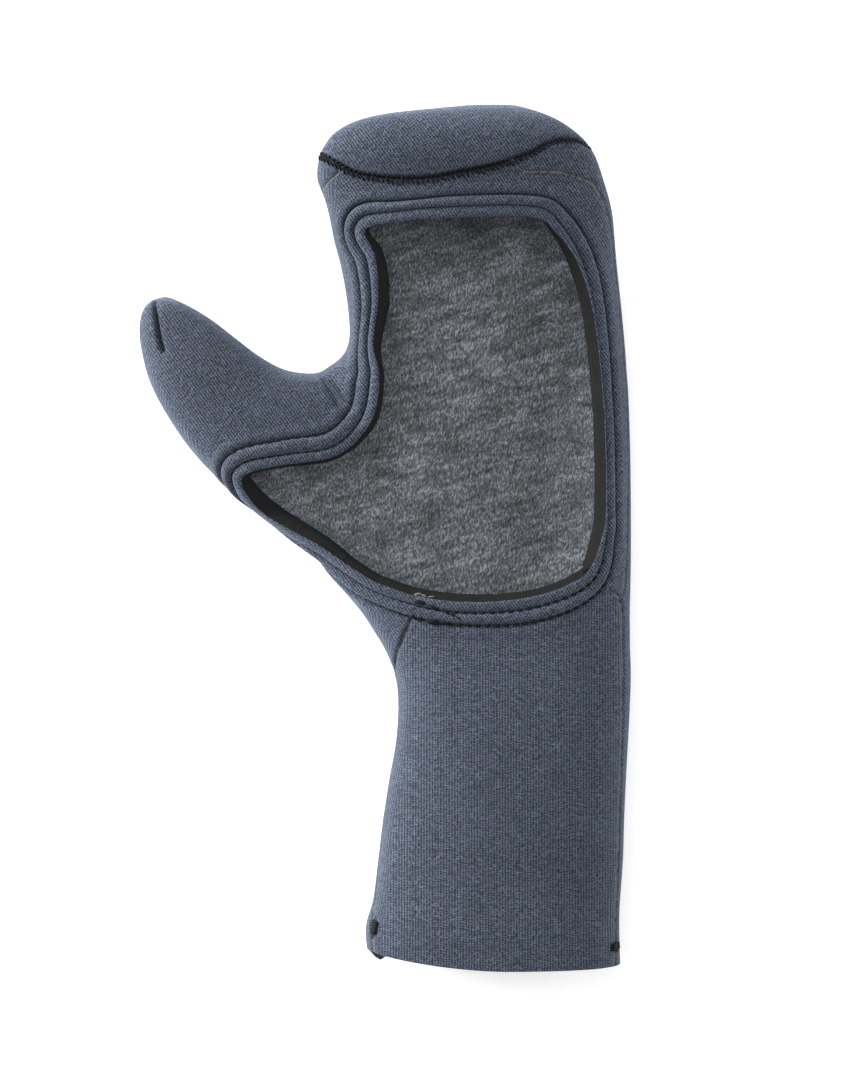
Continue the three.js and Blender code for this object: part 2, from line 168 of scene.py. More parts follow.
# Edge of the palm opening, clockwise from its top left corner: across and along the hand,
# the hem's width, the inner groove's share of it, and how much of the cut foam shows, in mm
OPENING = (
    (-0.449, 0.754, 8.8, 0.45, 0.4),
    (-0.347, 0.767, 7.0, 0.52, 0.0),
    (-0.157, 0.775, 7.0, 0.52, 0.0),
    (0.122, 0.777, 7.3, 0.52, 0.0),
    (0.203, 0.755, 8.0, 0.42, 1.0),
    (0.295, 0.688, 6.6, 0.26, 3.0),
    (0.351, 0.583, 4.8, 0.08, 3.4),
    (0.386, 0.407, 3.7, 0.06, 3.4),
    (0.395, 0.214, 3.7, 0.10, 3.6),
    (0.379, 0.146, 5.0, 0.34, 3.6),
    (0.313, 0.071, 8.0, 0.46, 3.0),
    (0.104, 0.027, 8.6, 0.46, 3.2),
    (-0.193, 0.024, 7.8, 0.46, 3.4),
    (-0.421, 0.063, 7.4, 0.46, 2.6),
    (-0.619, 0.135, 6.6, 0.46, 2.8),
    (-0.807, 0.196, 6.0, 0.46, 3.6),
    (-0.882, 0.250, 7.2, 0.46, 3.0),
    (-0.862, 0.276, 8.6, 0.42, 2.2),
    (-0.734, 0.291, 8.6, 0.40, 1.6),
    (-0.551, 0.309, 10.2, 0.32, 1.5),
    (-0.431, 0.375, 11.0, 0.34, 1.6),
    (-0.400, 0.462, 8.8, 0.40, 1.4),
    (-0.421, 0.530, 5.6, 0.40, 1.9),
    (-0.403, 0.619, 6.4, 0.42, 3.6),
    (-0.414, 0.704, 7.6, 0.45, 2.7),
)

# Seam of the fingertip cap, from the thumb side to the little-finger side
CAP_SEAM = (
    (-0.85, 0.955),
    (-0.615, 0.904),
    (-0.521, 0.873),
    (-0.464, 0.859),
    (-0.334, 0.850),
    (-0.224, 0.851),
    (-0.109, 0.862),
    (0.020, 0.876),
    (0.126, 0.897),
    (0.198, 0.919),
    (0.284, 0.926),
    (0.340, 0.916),
    (0.55, 0.872),
)

# Glued seam between the palm and the back on the little-finger side, from the cap down
RIGHT_SEAM = (
    (0.060, 0.884),
    (0.105, 0.863),
    (0.228, 0.862),
    (0.325, 0.849),
    (0.362, 0.835),
    (0.411, 0.774),
    (0.440, 0.66),
    (0.468, 0.50),
    (0.480, 0.383),
    (0.480, 0.214),
    (0.470, 0.066),
    (0.458, 0.036),
)

# Short glued seam below the cap's thumb-side end
LEFT_SEAM = (
    (-0.535, 0.874),
    (-0.549, 0.861),
    (-0.578, 0.850),
    (-0.612, 0.832),
)

# Outline of the cuff's palm panel in shares of the cuff: its left seam from the hem down,
# its right seam from the hem down, and the short run along the hem's corner
CUFF_LEFT_SEAM = (
    (-0.300, 0.000),
    (-0.326, 0.021),
    (-0.341, 0.055),
    (-0.366, 0.095),
    (-0.386, 0.131),
    (-0.392, 0.170),
    (-0.400, 0.260),
    (-0.418, 0.483),
    (-0.452, 0.711),
    (-0.468, 0.819),
    (-0.476, 0.900),
    (-0.470, 1.010),
)
CUFF_RIGHT_SEAM = (
    (0.395, -0.078),
    (0.420, -0.070),
    (0.450, -0.062),
    (0.480, -0.050),
    (0.504, -0.020),
    (0.510, 0.080),
    (0.509, 0.250),
    (0.500, 0.550),
    (0.486, 0.816),
    (0.478, 1.010),
)

# Fold along the thumb's tip: out and down in shares of the thumb's span and height
THUMB_DART = (
    (0.934, -0.004),
    (0.921, 0.046),
    (0.907, 0.096),
    (0.896, 0.147),
    (0.877, 0.202),
)

# Two small creases in the crotch of the thumb
CREASES = (
    ((-0.603, 0.462), (-0.577, 0.438), (-0.547, 0.408)),
    ((-0.574, 0.458), (-0.550, 0.443), (-0.522, 0.422)),
)

# Where the hem's stitching starts and ends: across and along the hand, turn in degrees,
# length and width in mm
STITCH_ENDS = (
    (-0.2568, 0.0197, -10, 4.8, 1.7),
    (-0.2094, 0.0098, -22, 4.6, 1.1),
    (-0.1637, -0.0012, -30, 2.6, 0.9),
    (-0.1409, -0.0060, -38, 2.6, 0.9),
    (-0.1216, -0.0119, -34, 2.8, 0.9),
    (-0.2830, -0.0091, -18, 2.4, 1.0),
    (-0.2550, -0.0119, -5, 1.4, 0.9),
    (-0.2199, -0.0188, -12, 4.4, 1.9),
    (-0.2050, -0.0160, 24, 2.6, 0.8),
    (-0.1708, -0.0208, -3, 4.2, 1.1),
    (-0.2790, 0.0030, 84, 3.8, 0.5),
)

# Drops of dried glue on the cut foam: across and along the hand, turn, length and width in mm
GLUE_DROPS = (
    (-0.268, 0.0345, 15, 3.4, 1.2),
    (-0.246, 0.0318, -20, 2.8, 1.1),
    (-0.220, 0.0300, 5, 3.0, 0.7),
    (0.306, 0.0860, 40, 3.0, 1.0),
)

# Stitch tacks of the frame, left and right
TACKS = ("bartack_left", "bartack_right")

# The smooth form and what is worked out from it, filled in by the form's operator
FORM = {}


def length_of(name, millimetres, description):
    return bpy.props.FloatProperty(
        name=name, description=description, default=millimetres * MM, unit="LENGTH")


def colour_of(name, hex_colour, description):
    return bpy.props.StringProperty(name=name, description=description + ", sRGB hex", default=hex_colour)


class MittenSizes(bpy.types.PropertyGroup):
    """Lengths that a user would change, given here in millimetres and shown in the scene's unit"""
    cuff_length: length_of("Cuff length", 128, "Wrist line to mouth")
    cuff_width: length_of("Cuff width", 92, "Across the mouth")
    cuff_depth: length_of("Cuff depth", 42, "Back to palm at the mouth")
    hand_length: length_of("Hand length", 181, "Wrist line to fingertips")
    hand_width: length_of("Hand width", 102, "Across the palm")
    hand_depth: length_of("Hand depth", 38, "Back to palm")
    finger_lift: length_of("Finger lift", 40, "How far the tips' underside rises")
    finger_rise: length_of("Finger rise", 15, "How far the tips stand above the palm")
    thumb_span: length_of("Thumb span", 76, "Palm's side to the thumb's far side")
    thumb_height: length_of("Thumb height", 100, "Thumb's tip to the end of its base")
    thumb_depth: length_of("Thumb depth", 32, "Back to front of the thumb")
    thumb_tip_up: length_of("Thumb tip", 114, "Wrist line to the thumb's tip")
    thumb_lift: length_of("Thumb lift", 4.5, "How far the thumb's tip is raised")
    wall: length_of("Wall", 3.2, "Neoprene with its knit and lining")
    mouth_slant: length_of("Mouth slant", 5.5, "How much higher the mouth is cut at the thumb side")
    hem_raise: length_of("Hem ridge", 1.1, "Height of the hem's rounded ridges")
    hem_sink: length_of("Hem groove", 1.3, "Depth of the hem's stitched grooves")
    hem_shoulder: length_of("Hem shoulder", 6.2, "Width of the soft swell outside the hem")
    grain: length_of("Skin grain", 0.9, "Edge of the skin's mesh squares")
    stitch: length_of("Stitch", 2.1, "Length of one hem stitch")
    zigzag: length_of("Zigzag pitch", 1.65, "Space between the cap seam's stitches")


class MittenColours(bpy.types.PropertyGroup):
    """Colours that a user would change, as sRGB hex"""
    knit: colour_of("Knit", "3A404B", "Knit face")
    plush: colour_of("Plush", "767A7F", "Brushed lining")
    foam: colour_of("Foam", "141414", "Cut foam")
    thread: colour_of("Thread", "0B0C0E", "Stitching")
    glue: colour_of("Glue", "6B6860", "Dried glue in the seams")
    floor: colour_of("Floor", "F4F4F4", "Studio floor")


def sizes():
    return bpy.context.scene.mitten_sizes


def colours():
    return bpy.context.scene.mitten_colours


# Places on the hand, the cuff and the thumb

def mid_x():
    return FRAME_BOX[1].x - MID_SHARE * sizes().hand_width


def wrist_y():
    return (sizes().cuff_length - sizes().hand_length) / 2


def hand_place(across, along):
    s = sizes()
    return mid_x() + across * s.hand_width, wrist_y() + along * s.hand_length


def cuff_place(across, along):
    s = sizes()
    return mid_x() + across * s.cuff_width, wrist_y() - along * s.cuff_length


def thumb_place(out, down):
    s = sizes()
    flank = mid_x() - 0.51 * s.hand_width
    return flank - out * s.thumb_span, wrist_y() + s.thumb_tip_up - down * s.thumb_height


def smooth_through(rows, count, closed=False):
    """Rows of numbers on a smooth curve through the given rows, evenly spaced along it."""
    points = np.array(rows, float)
    if closed:
        points = np.vstack((points[-1], points, points[:2]))
    else:
        points = np.vstack((2 * points[0] - points[1], points, 2 * points[-1] - points[-2]))
    dense = []
    steps = np.linspace(0, 1, 24, endpoint=False)[:, None]
    for a, b, c, d in zip(points, points[1:], points[2:], points[3:]):
        bend = 2 * b + (c - a) * steps + (2 * a - 5 * b + 4 * c - d) * steps ** 2
        dense.append(0.5 * (bend + (3 * b - a - 3 * c + d) * steps ** 3))
    dense = np.vstack(dense + [points[-2][None, :]])
    run = np.concatenate(([0], np.cumsum(np.linalg.norm(np.diff(dense[:, :2], axis=0), axis=1))))
    marks = np.linspace(0, run[-1], count + 1 if closed else count)
    if closed:
        marks = marks[:-1]
    return np.column_stack([np.interp(marks, run, dense[:, k]) for k in range(dense.shape[1])])


# Smooth form of the whole mitten, closed over the opening and the mouth

def body_rows():
    """Sections of the cuff and the hand: place along, left and right edge, underside and top."""
    s = sizes()
    rows = [(wrist_y() - s.cuff_length * 1.03, *CUFF_SECTIONS[0][1:3], 0, s.cuff_depth, s.cuff_width)]
    for along, left, right, depth in CUFF_SECTIONS:
        y, top = wrist_y() - along * s.cuff_length, depth * s.cuff_depth
        rows.append((y, left, right, 0, top, s.cuff_width))
    for along, left, right, under, over in HAND_SECTIONS:
        y, top = wrist_y() + along * s.hand_length, s.hand_depth + over * s.finger_rise
        rows.append((y, left, right, under * s.finger_lift, top, s.hand_width))
    middle = mid_x()
    return [(y, middle + left * wide, middle + right * wide, low, top)
            for y, left, right, low, top, wide in rows]


def rounded(value, square):
    """A sine or cosine pushed out towards a rectangle's, as a superellipse needs it."""
    return math.copysign(abs(value) ** (2 / square), value)


def body_ring(y, left, right, low, top, sides=96, square=2.45, press=1.6 * MM):
    """A section as a rounded box; where it lies on the floor it is pressed flat."""
    low = -press if low <= 0.1 * MM else low
    ring = []
    for i in range(sides):
        angle = 2 * math.pi * i / sides
        x = (left + right) / 2 + (right - left) / 2 * rounded(math.cos(angle), square)
        z = (low + top) / 2 + (top - low) / 2 * rounded(math.sin(angle), square)
        ring.append(Vector((x, y, max(z, 0.0))))
    return ring


def thumb_ring(row, sides=64, square=2.2):
    """A section of the thumb, raised more the further out it lies."""
    s = sizes()
    lift = s.thumb_lift * min(1.0, max(0.0, ((row[0] + row[2]) / 2 - 0.05) / 0.65))
    outer = Vector((*thumb_place(row[0], row[1]), s.hand_depth / 2 + lift))
    inner = Vector((*thumb_place(row[2], row[3]), s.hand_depth / 2 + lift))
    half_depth = row[4] * s.thumb_depth / 2
    ring = []
    for i in range(sides):
        angle = 2 * math.pi * i / sides
        point = (outer + inner) / 2 + (inner - outer) / 2 * rounded(math.cos(angle), square)
        point.z = max(point.z + half_depth * rounded(math.sin(angle), square), 0.0)
        ring.append(point)
    return ring


def loft(bm, rings):
    """Bridges rings of equal count into one closed skin."""
    loops = []
    for ring in rings:
        made = bmesh.ops.create_circle(bm, segments=len(ring), radius=1.0)["verts"]
        for vert, point in zip(made, ring):
            vert.co = point
        loops.append(list({edge for vert in made for edge in vert.link_edges}))
    for first, second in zip(loops, loops[1:]):
        bmesh.ops.bridge_loops(bm, edges=first + second)
    for end in (loops[0], loops[-1]):
        bmesh.ops.contextual_create(bm, geom=end)


def mesh_object(name, bm):
    mesh = bpy.data.meshes.new(name)
    bm.to_mesh(mesh)
    bm.free()
    obj = bpy.data.objects.new(name, mesh)
    bpy.context.scene.collection.objects.link(obj)
    return obj


def loft_object(name, rings):
    bm = bmesh.new()
    loft(bm, rings)
    bmesh.ops.triangulate(bm, faces=[face for face in bm.faces if len(face.verts) > 4])
    bmesh.ops.recalc_face_normals(bm, faces=bm.faces)
    return mesh_object(name, bm)


def baked(obj, name):
    """The object's mesh with its modifiers applied, as a new object; the old one goes."""
    graph = bpy.context.evaluated_depsgraph_get()
    mesh = bpy.data.meshes.new_from_object(obj.evaluated_get(graph))
    made = bpy.data.objects.new(name, mesh)
    bpy.context.scene.collection.objects.link(made)
    bpy.data.objects.remove(obj, do_unlink=True)
    return made


def make_form():
    """One even, softened skin from the lofts of body and thumb."""
    body = loft_object("form_body", [body_ring(*row) for row in smooth_through(body_rows(), 150)])
    thumb_rows = smooth_through(THUMB_SECTIONS, 60)
    thumb = loft_object("form_thumb", [thumb_ring(row) for row in thumb_rows])
    joined = bmesh.new()
    joined.from_mesh(body.data)
    joined.from_mesh(thumb.data)
    for part in (body, thumb):
        bpy.data.objects.remove(part, do_unlink=True)
    whole = mesh_object("form_whole", joined)
    remesh = whole.modifiers.new("even", "REMESH")
    remesh.mode = "VOXEL"
    remesh.voxel_size = sizes().grain
    remesh.use_smooth_shade = True
    soften = whole.modifiers.new("soften", "SMOOTH")
    soften.factor = 0.5
    soften.iterations = 14
    return ease_crotch(baked(whole, "form"))


def ease_crotch(form, reach=34 * MM, fade=16 * MM):
    """Rounds off the valley where the thumb's loft meets the palm's."""
    centre = Vector((*hand_place(-0.50, 0.43), sizes().hand_depth / 2))
    group = form.vertex_groups.new(name="crotch")
    for vert in form.data.vertices:
        distance = math.hypot(vert.co.x - centre.x, vert.co.y - centre.y)
        weight = min(1.0, max(0.0, (reach - distance) / fade))
        if weight > 0:
            group.add([vert.index], weight, "REPLACE")
    ease = form.modifiers.new("ease", "SMOOTH")
    ease.factor = 0.5
    ease.iterations = 90
    ease.vertex_group = "crotch"
    return baked(form, "form")


def vectors(elements, name):
    """One vector of each of a mesh's vertices or faces, as rows of an array."""
    values = np.empty(len(elements) * 3)
    elements.foreach_get(name, values)
    return values.reshape(-1, 3)


def below(x, y):
    """The form's place and normal straight under the point x, y; None where it misses."""
    place, normal, _, _ = FORM["tree"].ray_cast(Vector((x, y, 1.0)), Vector((0, 0, -1)))
    return None if place is None else (place, normal)


def drape(x, y):
    """Where the point above x, y lands on the form, or comes nearest: place and normal."""
    middle = Vector((x, y, sizes().hand_depth / 2))
    return below(x, y) or FORM["tree"].find_nearest(middle)[:2]


def draped_line(points, pitch=0.25 * MM, ease=0):
    """A plan curve laid on the form, with a point every pitch or so. With ease it may leave the
    plan and run down the side, and is averaged over that many points each way."""
    total = sum(math.dist(a, b) for a, b in zip(points, points[1:]))
    spots = smooth_through(points, max(8, int(total / pitch)))
    if not ease:
        return [found for found in (below(x, y) for x, y in spots) if found]
    places = np.array([drape(x, y)[0] for x, y in spots])
    padded = np.pad(places, ((ease, ease), (0, 0)), mode="reflect", reflect_type="odd")
    even = np.ones(2 * ease + 1) / (2 * ease + 1)
    eased = np.column_stack([np.convolve(padded[:, k], even, "valid") for k in range(3)])
    return [FORM["tree"].find_nearest(Vector(place))[:2] for place in eased]


def nearest_tree(places):
    tree = KDTree(len(places))
    for i, place in enumerate(places):
        tree.insert(place, i)
    tree.balance()
    return tree


def near_ones(co, places, reach, margin=None):
    """The points of co within reach of the places: each one's number, the nearest place's number
    and the distance. Only points in the box round the places, plus the margin, are tried."""
    margin = reach if margin is None else margin
    tree = nearest_tree(places)
    low, high = np.min(places, axis=0) - margin, np.max(places, axis=0) + margin
    for i in np.nonzero(np.all((co > low) & (co < high), axis=1))[0]:
        _, nearest, distance = tree.find(co[i])
        if distance < reach:
            yield i, nearest, distance


def inside(outline, xy):
    """Which points of xy lie in the closed plan outline."""
    result = np.zeros(len(xy), bool)
    x, y = xy[:, 0], xy[:, 1]
    before = outline[-1]
    for here in outline:
        crosses = (here[1] > y) != (before[1] > y)
        slope = (before[0] - here[0]) / ((before[1] - here[1]) or 1e-12)
        result ^= crosses & (x < here[0] + (y - here[1]) * slope)
        before = here
    return result


# Plan outlines

def opening_rows(count):
    """Places round the opening, with the hem's width, its inner groove's share and the foam."""
    rows = [(*hand_place(a, b), hem * MM, groove, foam * MM) for a, b, hem, groove, foam in OPENING]
    return smooth_through(rows, count, closed=True)


def outward(points):
    """Plan normals of a clockwise closed outline."""
    run = np.roll(points, -1, axis=0) - np.roll(points, 1, axis=0)
    normals = np.column_stack((-run[:, 1], run[:, 0]))
    return normals / np.linalg.norm(normals, axis=1)[:, None]


def hand_line(table):
    return [hand_place(*row) for row in table]


def cuff_line(table):
    return [cuff_place(*row) for row in table]


def curve(points, count):
    """A smooth plan curve through the points, as pairs."""
    return [tuple(point) for point in smooth_through(points, count)]


def cap_outline():
    seam = curve(hand_line(CAP_SEAM), 120)
    far = wrist_y() + sizes().hand_length * 1.2
    return seam + [(seam[-1][0], far), (seam[0][0], far)]


def palm_outline():
    right = curve(hand_line(RIGHT_SEAM), 120)
    left = curve(hand_line(LEFT_SEAM), 20)
    low = hand_line(((0.10, -0.05), (0.10, 0.20), (-0.70, 0.24), (-1.6, 0.12)))
    high = hand_line(((-1.6, 0.60), (-0.75, 0.77)))
    under_cap = hand_line(((-0.50, 0.93), (0.05, 0.93)))
    return right + low + high + left[::-1] + under_cap


def cuff_outline():
    left = curve(cuff_line(CUFF_LEFT_SEAM), 120)
    right = curve(cuff_line(CUFF_RIGHT_SEAM), 120)
    past_mouth = cuff_line(((0.478, 1.3), (-0.470, 1.3)))
    under_hem = cuff_line(((-0.25, -0.05), (0.25, -0.10)))
    return right + past_mouth + left[::-1] + under_hem


# The knit skin, split into its four panels

def side_height(y):
    """Mid height of the mitten at places along it."""
    rows = np.array(body_rows())
    return (np.interp(y, rows[:, 0], rows[:, 3]) + np.interp(y, rows[:, 0], rows[:, 4])) / 2


def panel_of(places, near_hem=2.5 * MM):
    """Which panel each place on the skin belongs to."""
    xy = places[:, :2]
    above = places[:, 2] > side_height(xy[:, 1])
    panel = np.full(len(places), BACK)
    panel[above & inside(palm_outline(), xy)] = PALM
    panel[above & inside(cuff_outline(), xy)] = CUFF
    panel[inside(cap_outline(), xy)] = CAP
    panel[above & inside(opening_rows(400)[:, :2], xy)] = CUT_AWAY
    hem = FORM["hem"]
    for i, nearest, _ in near_ones(places, hem["places"].reshape(-1, 3), near_hem, margin=0.0):
        if nearest // HEM_COUNT < hem["cut_row"]:
            panel[i] = CUT_AWAY
    return panel


def seam_lines():
    """Every seam that shows, by name: its line on the form, the groove's depth and width, and
    whether glue shows in it."""
    cuff_left, cuff_right = cuff_line(CUFF_LEFT_SEAM), cuff_line(CUFF_RIGHT_SEAM)
    dart = [thumb_place(*row) for row in THUMB_DART]
    seams = (
        ("cap", hand_line(CAP_SEAM[1:-1]), 0, 1.0, 0.95, False),
        ("right", hand_line(RIGHT_SEAM), 0, 0.45, 0.70, True),
        ("left", hand_line(LEFT_SEAM), 0, 0.40, 0.70, True),
        ("cuff_left", cuff_left, 36, 0.50, 0.75, True),
        ("cuff_left_gap", cuff_left[1:6], 8, 0.60, 0.60, False),
        ("cuff_right", cuff_right, 12, 0.50, 0.75, True),
        ("dart", dart, 0, 2.2, 0.80, False),
        ("crease_low", hand_line(CREASES[0]), 0, 0.55, 0.65, False),
        ("crease_high", hand_line(CREASES[1]), 0, 0.45, 0.65, False),
    )
    return {name: (draped_line(points, ease=ease), depth * MM, width * MM, glued)
            for name, points, ease, depth, width, glued in seams}


def press_seams(co, normals, full_depth=0.9 * MM, glue_reach=2 * MM):
    """Sinks the skin along its seams. Also gives how near each point is to glue, 1 on it and 0
    away, and the shade painted into each point's seam groove, stronger the deeper the groove."""
    nearest = np.full(len(co), 1.0)
    painted_shade = np.zeros(len(co))
    moved = co.copy()
    for line, depth, width, glued in FORM["seams"].values():
        for i, _, distance in near_ones(co, [place for place, _ in line], 4 * width):
            dip = math.exp(-((distance / width) ** 2))
            moved[i] -= normals[i] * depth * dip
            # Painted shade in the seam's groove: it follows the dip, and reaches full strength only where
            # the groove is at least full_depth deep.
            painted_shade[i] = max(painted_shade[i], dip * min(1.0, depth / full_depth))
            if glued:
                nearest[i] = min(nearest[i], distance)
    return moved, np.clip(1 - nearest / glue_reach, 0, 1), painted_shade


def give_values(mesh, name, values):
    mesh.attributes.new(name, "FLOAT", "POINT").data.foreach_set("value", values)


def snap_borders(mesh, co, panel, squares=1.3):
    """Moves the points between two panels on to the seam's line, so that they part along it."""
    corners = np.empty(len(mesh.loops), int)
    mesh.loops.foreach_get("vertex_index", corners)
    counts = np.empty(len(mesh.polygons), int)
    mesh.polygons.foreach_get("loop_total", counts)
    face_of = np.repeat(panel, counts)
    low = np.full(len(co), CUT_AWAY)
    high = np.full(len(co), BACK)
    np.minimum.at(low, corners, face_of)
    np.maximum.at(high, corners, face_of)
    tree = nearest_tree([place for line, _, _, _ in FORM["seams"].values() for place, _ in line])
    for i in np.nonzero((low != high) & (high != CUT_AWAY))[0]:
        place, _, distance = tree.find(co[i])
        if distance < squares * sizes().grain:
            co[i] = place
    return co


def mouth_lift(place, fade=16 * MM):
    """The mouth's edge is cut higher towards the thumb side; the slant dies away up the cuff."""
    across = (place.x - mid_x()) / sizes().cuff_width
    into = (place.y - wrist_y() + sizes().cuff_length) / fade
    slant = sizes().mouth_slant * max(0.0, (0.05 - across) / 0.55) ** 1.6
    return slant * min(1.0, max(0.0, 1 - into)) ** 2


def smooth_object(name, bm, finish):
    for face in bm.faces:
        face.smooth = True
    obj = mesh_object(name, bm)
    obj.data.materials.append(material_of(finish))
    return obj


def form_copy(co):
    """The form's mesh with its points moved to co."""
    mesh = FORM["object"].data.copy()
    mesh.vertices.foreach_set("co", co.ravel())
    mesh.update()
    return mesh


def take_panel(source, keep, name, finish):
    """A new piece from the faces of the skin that keep names, cut off at the mouth."""
    bm = bmesh.new()
    bm.from_mesh(source)
    bm.faces.ensure_lookup_table()
    drop = [bm.faces[i] for i in np.nonzero(~keep)[0]]
    bmesh.ops.delete(bm, geom=drop, context="FACES")
    mouth = Vector((0, wrist_y() - sizes().cuff_length, 0))
    geom = bm.verts[:] + bm.edges[:] + bm.faces[:]
    bmesh.ops.bisect_plane(bm, geom=geom, plane_co=mouth, plane_no=Vector((0, -1, 0)), clear_outer=True)
    for vert in bm.verts:
        vert.co.y += mouth_lift(vert.co)
    return smooth_object(name, bm, finish)


def finish_piece(obj, slot, *nodes):
    """Ties a piece to the frame's root body and hides the solids that it stands for. slot is not used."""
    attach(obj, "root")
    if nodes:
        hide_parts(*nodes)
    return obj


# Materials

def linear(hex_colour):
    """An sRGB hex colour as linear RGBA."""
    parts = [int(hex_colour[i:i + 2], 16) / 255 for i in (0, 2, 4)]
    return [c / 12.92 if c <= 0.04045 else ((c + 0.055) / 1.055) ** 2.4 for c in parts] + [1.0]


def shade(hex_colour, factor):
    return [c * factor for c in linear(hex_colour)[:3]] + [1.0]


def add_node(tree, kind, settings=None, inputs=None):
    """A node with its settings, its input values and the links that come into it."""
    made = tree.nodes.new(kind)
    for name, value in (settings or {}).items():
        setattr(made, name, value)
    for name, value in (inputs or {}).items():
        socket = made.inputs[name]
        if isinstance(value, bpy.types.NodeSocket):
            tree.links.new(value, socket)
        else:
            socket.default_value = value
    return made


def new_material(name):
    material = bpy.data.materials.new(name)
    material.use_nodes = True
    tree = material.node_tree
    tree.nodes.clear()
    return material, tree


def add_math(tree, operation, first, second=0.0, third=0.0):
    made = add_node(tree, "ShaderNodeMath", {"operation": operation}, {0: first, 1: second, 2: third})
    return made.outputs[0]


def ramp(tree, factor, hex_colour, stops):
    """Shades of one colour: each stop is a place and the shade's factor."""
    made = add_node(tree, "ShaderNodeValToRGB", None, {"Fac": factor})
    band = made.color_ramp
    while len(band.elements) < len(stops):
        band.elements.new(0.5)
    for element, (place, lightness) in zip(band.elements, stops):
        element.position = place
        element.color = shade(hex_colour, lightness)
    return made.outputs["Color"]


def noise(tree, spot, scale, detail=2.0, rough=0.5):
    """Cloudy noise; scale is in lumps to the metre."""
    made = add_node(tree, "ShaderNodeTexNoise", None,
                    {"Vector": spot, "Scale": scale, "Detail": detail, "Roughness": rough})
    return made.outputs["Fac"]


def map_range(tree, value, low, high, to_low, to_high, kind="LINEAR"):
    made = add_node(tree, "ShaderNodeMapRange", {"interpolation_type": kind}, {
        "Value": value, "From Min": low, "From Max": high, "To Min": to_low, "To Max": to_high})
    return made.outputs[0]


def mix_values(tree, factor, first, second):
    made = add_node(tree, "ShaderNodeMix", {"data_type": "FLOAT"}, {0: factor, 2: first, 3: second})
    return made.outputs[0]


def split(tree, vector):
    return add_node(tree, "ShaderNodeSeparateXYZ", None, {"Vector": vector}).outputs


def attribute(tree, name):
    return add_node(tree, "ShaderNodeAttribute", {"attribute_name": name}).outputs["Fac"]


def object_place(tree):
    return add_node(tree, "ShaderNodeTexCoord").outputs["Object"]


def surface(tree, colour, height, rough, sheen=0.0, tint=(1, 1, 1, 1), bump=0.0, strength=0.6):
    """The shader and the output: a dull finish with a little relief, bump metres high."""
    bumped = add_node(tree, "ShaderNodeBump", None,
                      {"Strength": strength, "Distance": bump, "Height": height})
    shader = add_node(tree, "ShaderNodeBsdfPrincipled", None, {
        "Base Color": colour,
        "Roughness": rough,
        "Sheen Weight": sheen,
        "Sheen Tint": tint,
        "Sheen Roughness": 0.5,
        "Specular IOR Level": 0.25,
        "Normal": bumped.outputs["Normal"],
    })
    add_node(tree, "ShaderNodeOutputMaterial", None, {"Surface": shader.outputs["BSDF"]})


def wale_height(tree, across, along):
    """Height of a plain knit face: wales of small loops, each at its own step.

    The real courses are 0.6 mm apart, which is too fine to show, so they are drawn coarser and
    broken up by uneven pale points."""
    wale = add_math(tree, "MULTIPLY", across, 1 / WALE)
    side = add_math(tree, "PINGPONG", wale, 0.5)
    row = add_math(tree, "ROUND", wale)
    own_step = add_node(tree, "ShaderNodeTexWhiteNoise", {"noise_dimensions": "1D"}, {"W": row})
    course = add_math(tree, "MULTIPLY_ADD", along, 1 / COURSE, own_step.outputs["Value"])
    leaning = add_math(tree, "ADD", course, side)
    loops = add_math(tree, "SINE", add_math(tree, "MULTIPLY", leaning, 2 * math.pi))
    spot = add_node(tree, "ShaderNodeCombineXYZ", None,
                    {"X": add_math(tree, "MULTIPLY", row, 7.31), "Y": course})
    points = add_node(tree, "ShaderNodeTexNoise", {"noise_dimensions": "2D"},
                      {"Vector": spot.outputs["Vector"], "Scale": 1.25, "Detail": 0.0}).outputs["Fac"]
    ridge = add_math(tree, "SINE", add_math(tree, "MULTIPLY", side, math.pi))
    uneven = add_math(tree, "MULTIPLY_ADD", ridge, 0.46, 0.05)
    uneven = add_math(tree, "MULTIPLY_ADD", points, 0.50, uneven)
    return add_math(tree, "MULTIPLY_ADD", loops, 0.13, uneven)


def knit_height(tree, turn):
    """The knit's height. On steep faces the wales run round the side instead of the plan."""
    place = add_node(tree, "ShaderNodeTexCoord")
    turned = add_node(tree, "ShaderNodeMapping", None, {
        "Vector": place.outputs["Object"], "Rotation": (0, 0, math.radians(turn))})
    axes = split(tree, turned.outputs["Vector"])
    flat = wale_height(tree, axes["X"], axes["Y"])
    plain = split(tree, place.outputs["Object"])
    facing = split(tree, place.outputs["Normal"])
    tilt = {axis: add_math(tree, "ABSOLUTE", facing[axis]) for axis in "XYZ"}
    endwise = add_math(tree, "GREATER_THAN", tilt["Y"], tilt["X"])
    run = mix_values(tree, endwise, plain["Y"], plain["X"])
    lean, rise = math.cos(math.radians(turn)), math.sin(math.radians(turn))
    across = add_math(tree, "MULTIPLY_ADD", plain["Z"], lean, add_math(tree, "MULTIPLY", run, rise))
    along = add_math(tree, "MULTIPLY_ADD", run, lean, add_math(tree, "MULTIPLY", plain["Z"], -rise))
    upright = wale_height(tree, across, along)
    steep = map_range(tree, tilt["Z"], 0.60, 0.80, 1.0, 0.0)
    return mix_values(tree, steep, flat, upright)


def glue_showing(tree, spot):
    """How much of the glue shows: a broken thin line where the attribute says that it is near."""
    beads = noise(tree, spot, 480.0, 1.0)
    near = add_math(tree, "SUBTRACT", attribute(tree, "glue"), 0.32)
    near = add_math(tree, "MULTIPLY_ADD", beads, 0.60, near)
    return map_range(tree, near, 0.76, 0.92, 0.0, 1.0, "SMOOTHSTEP")


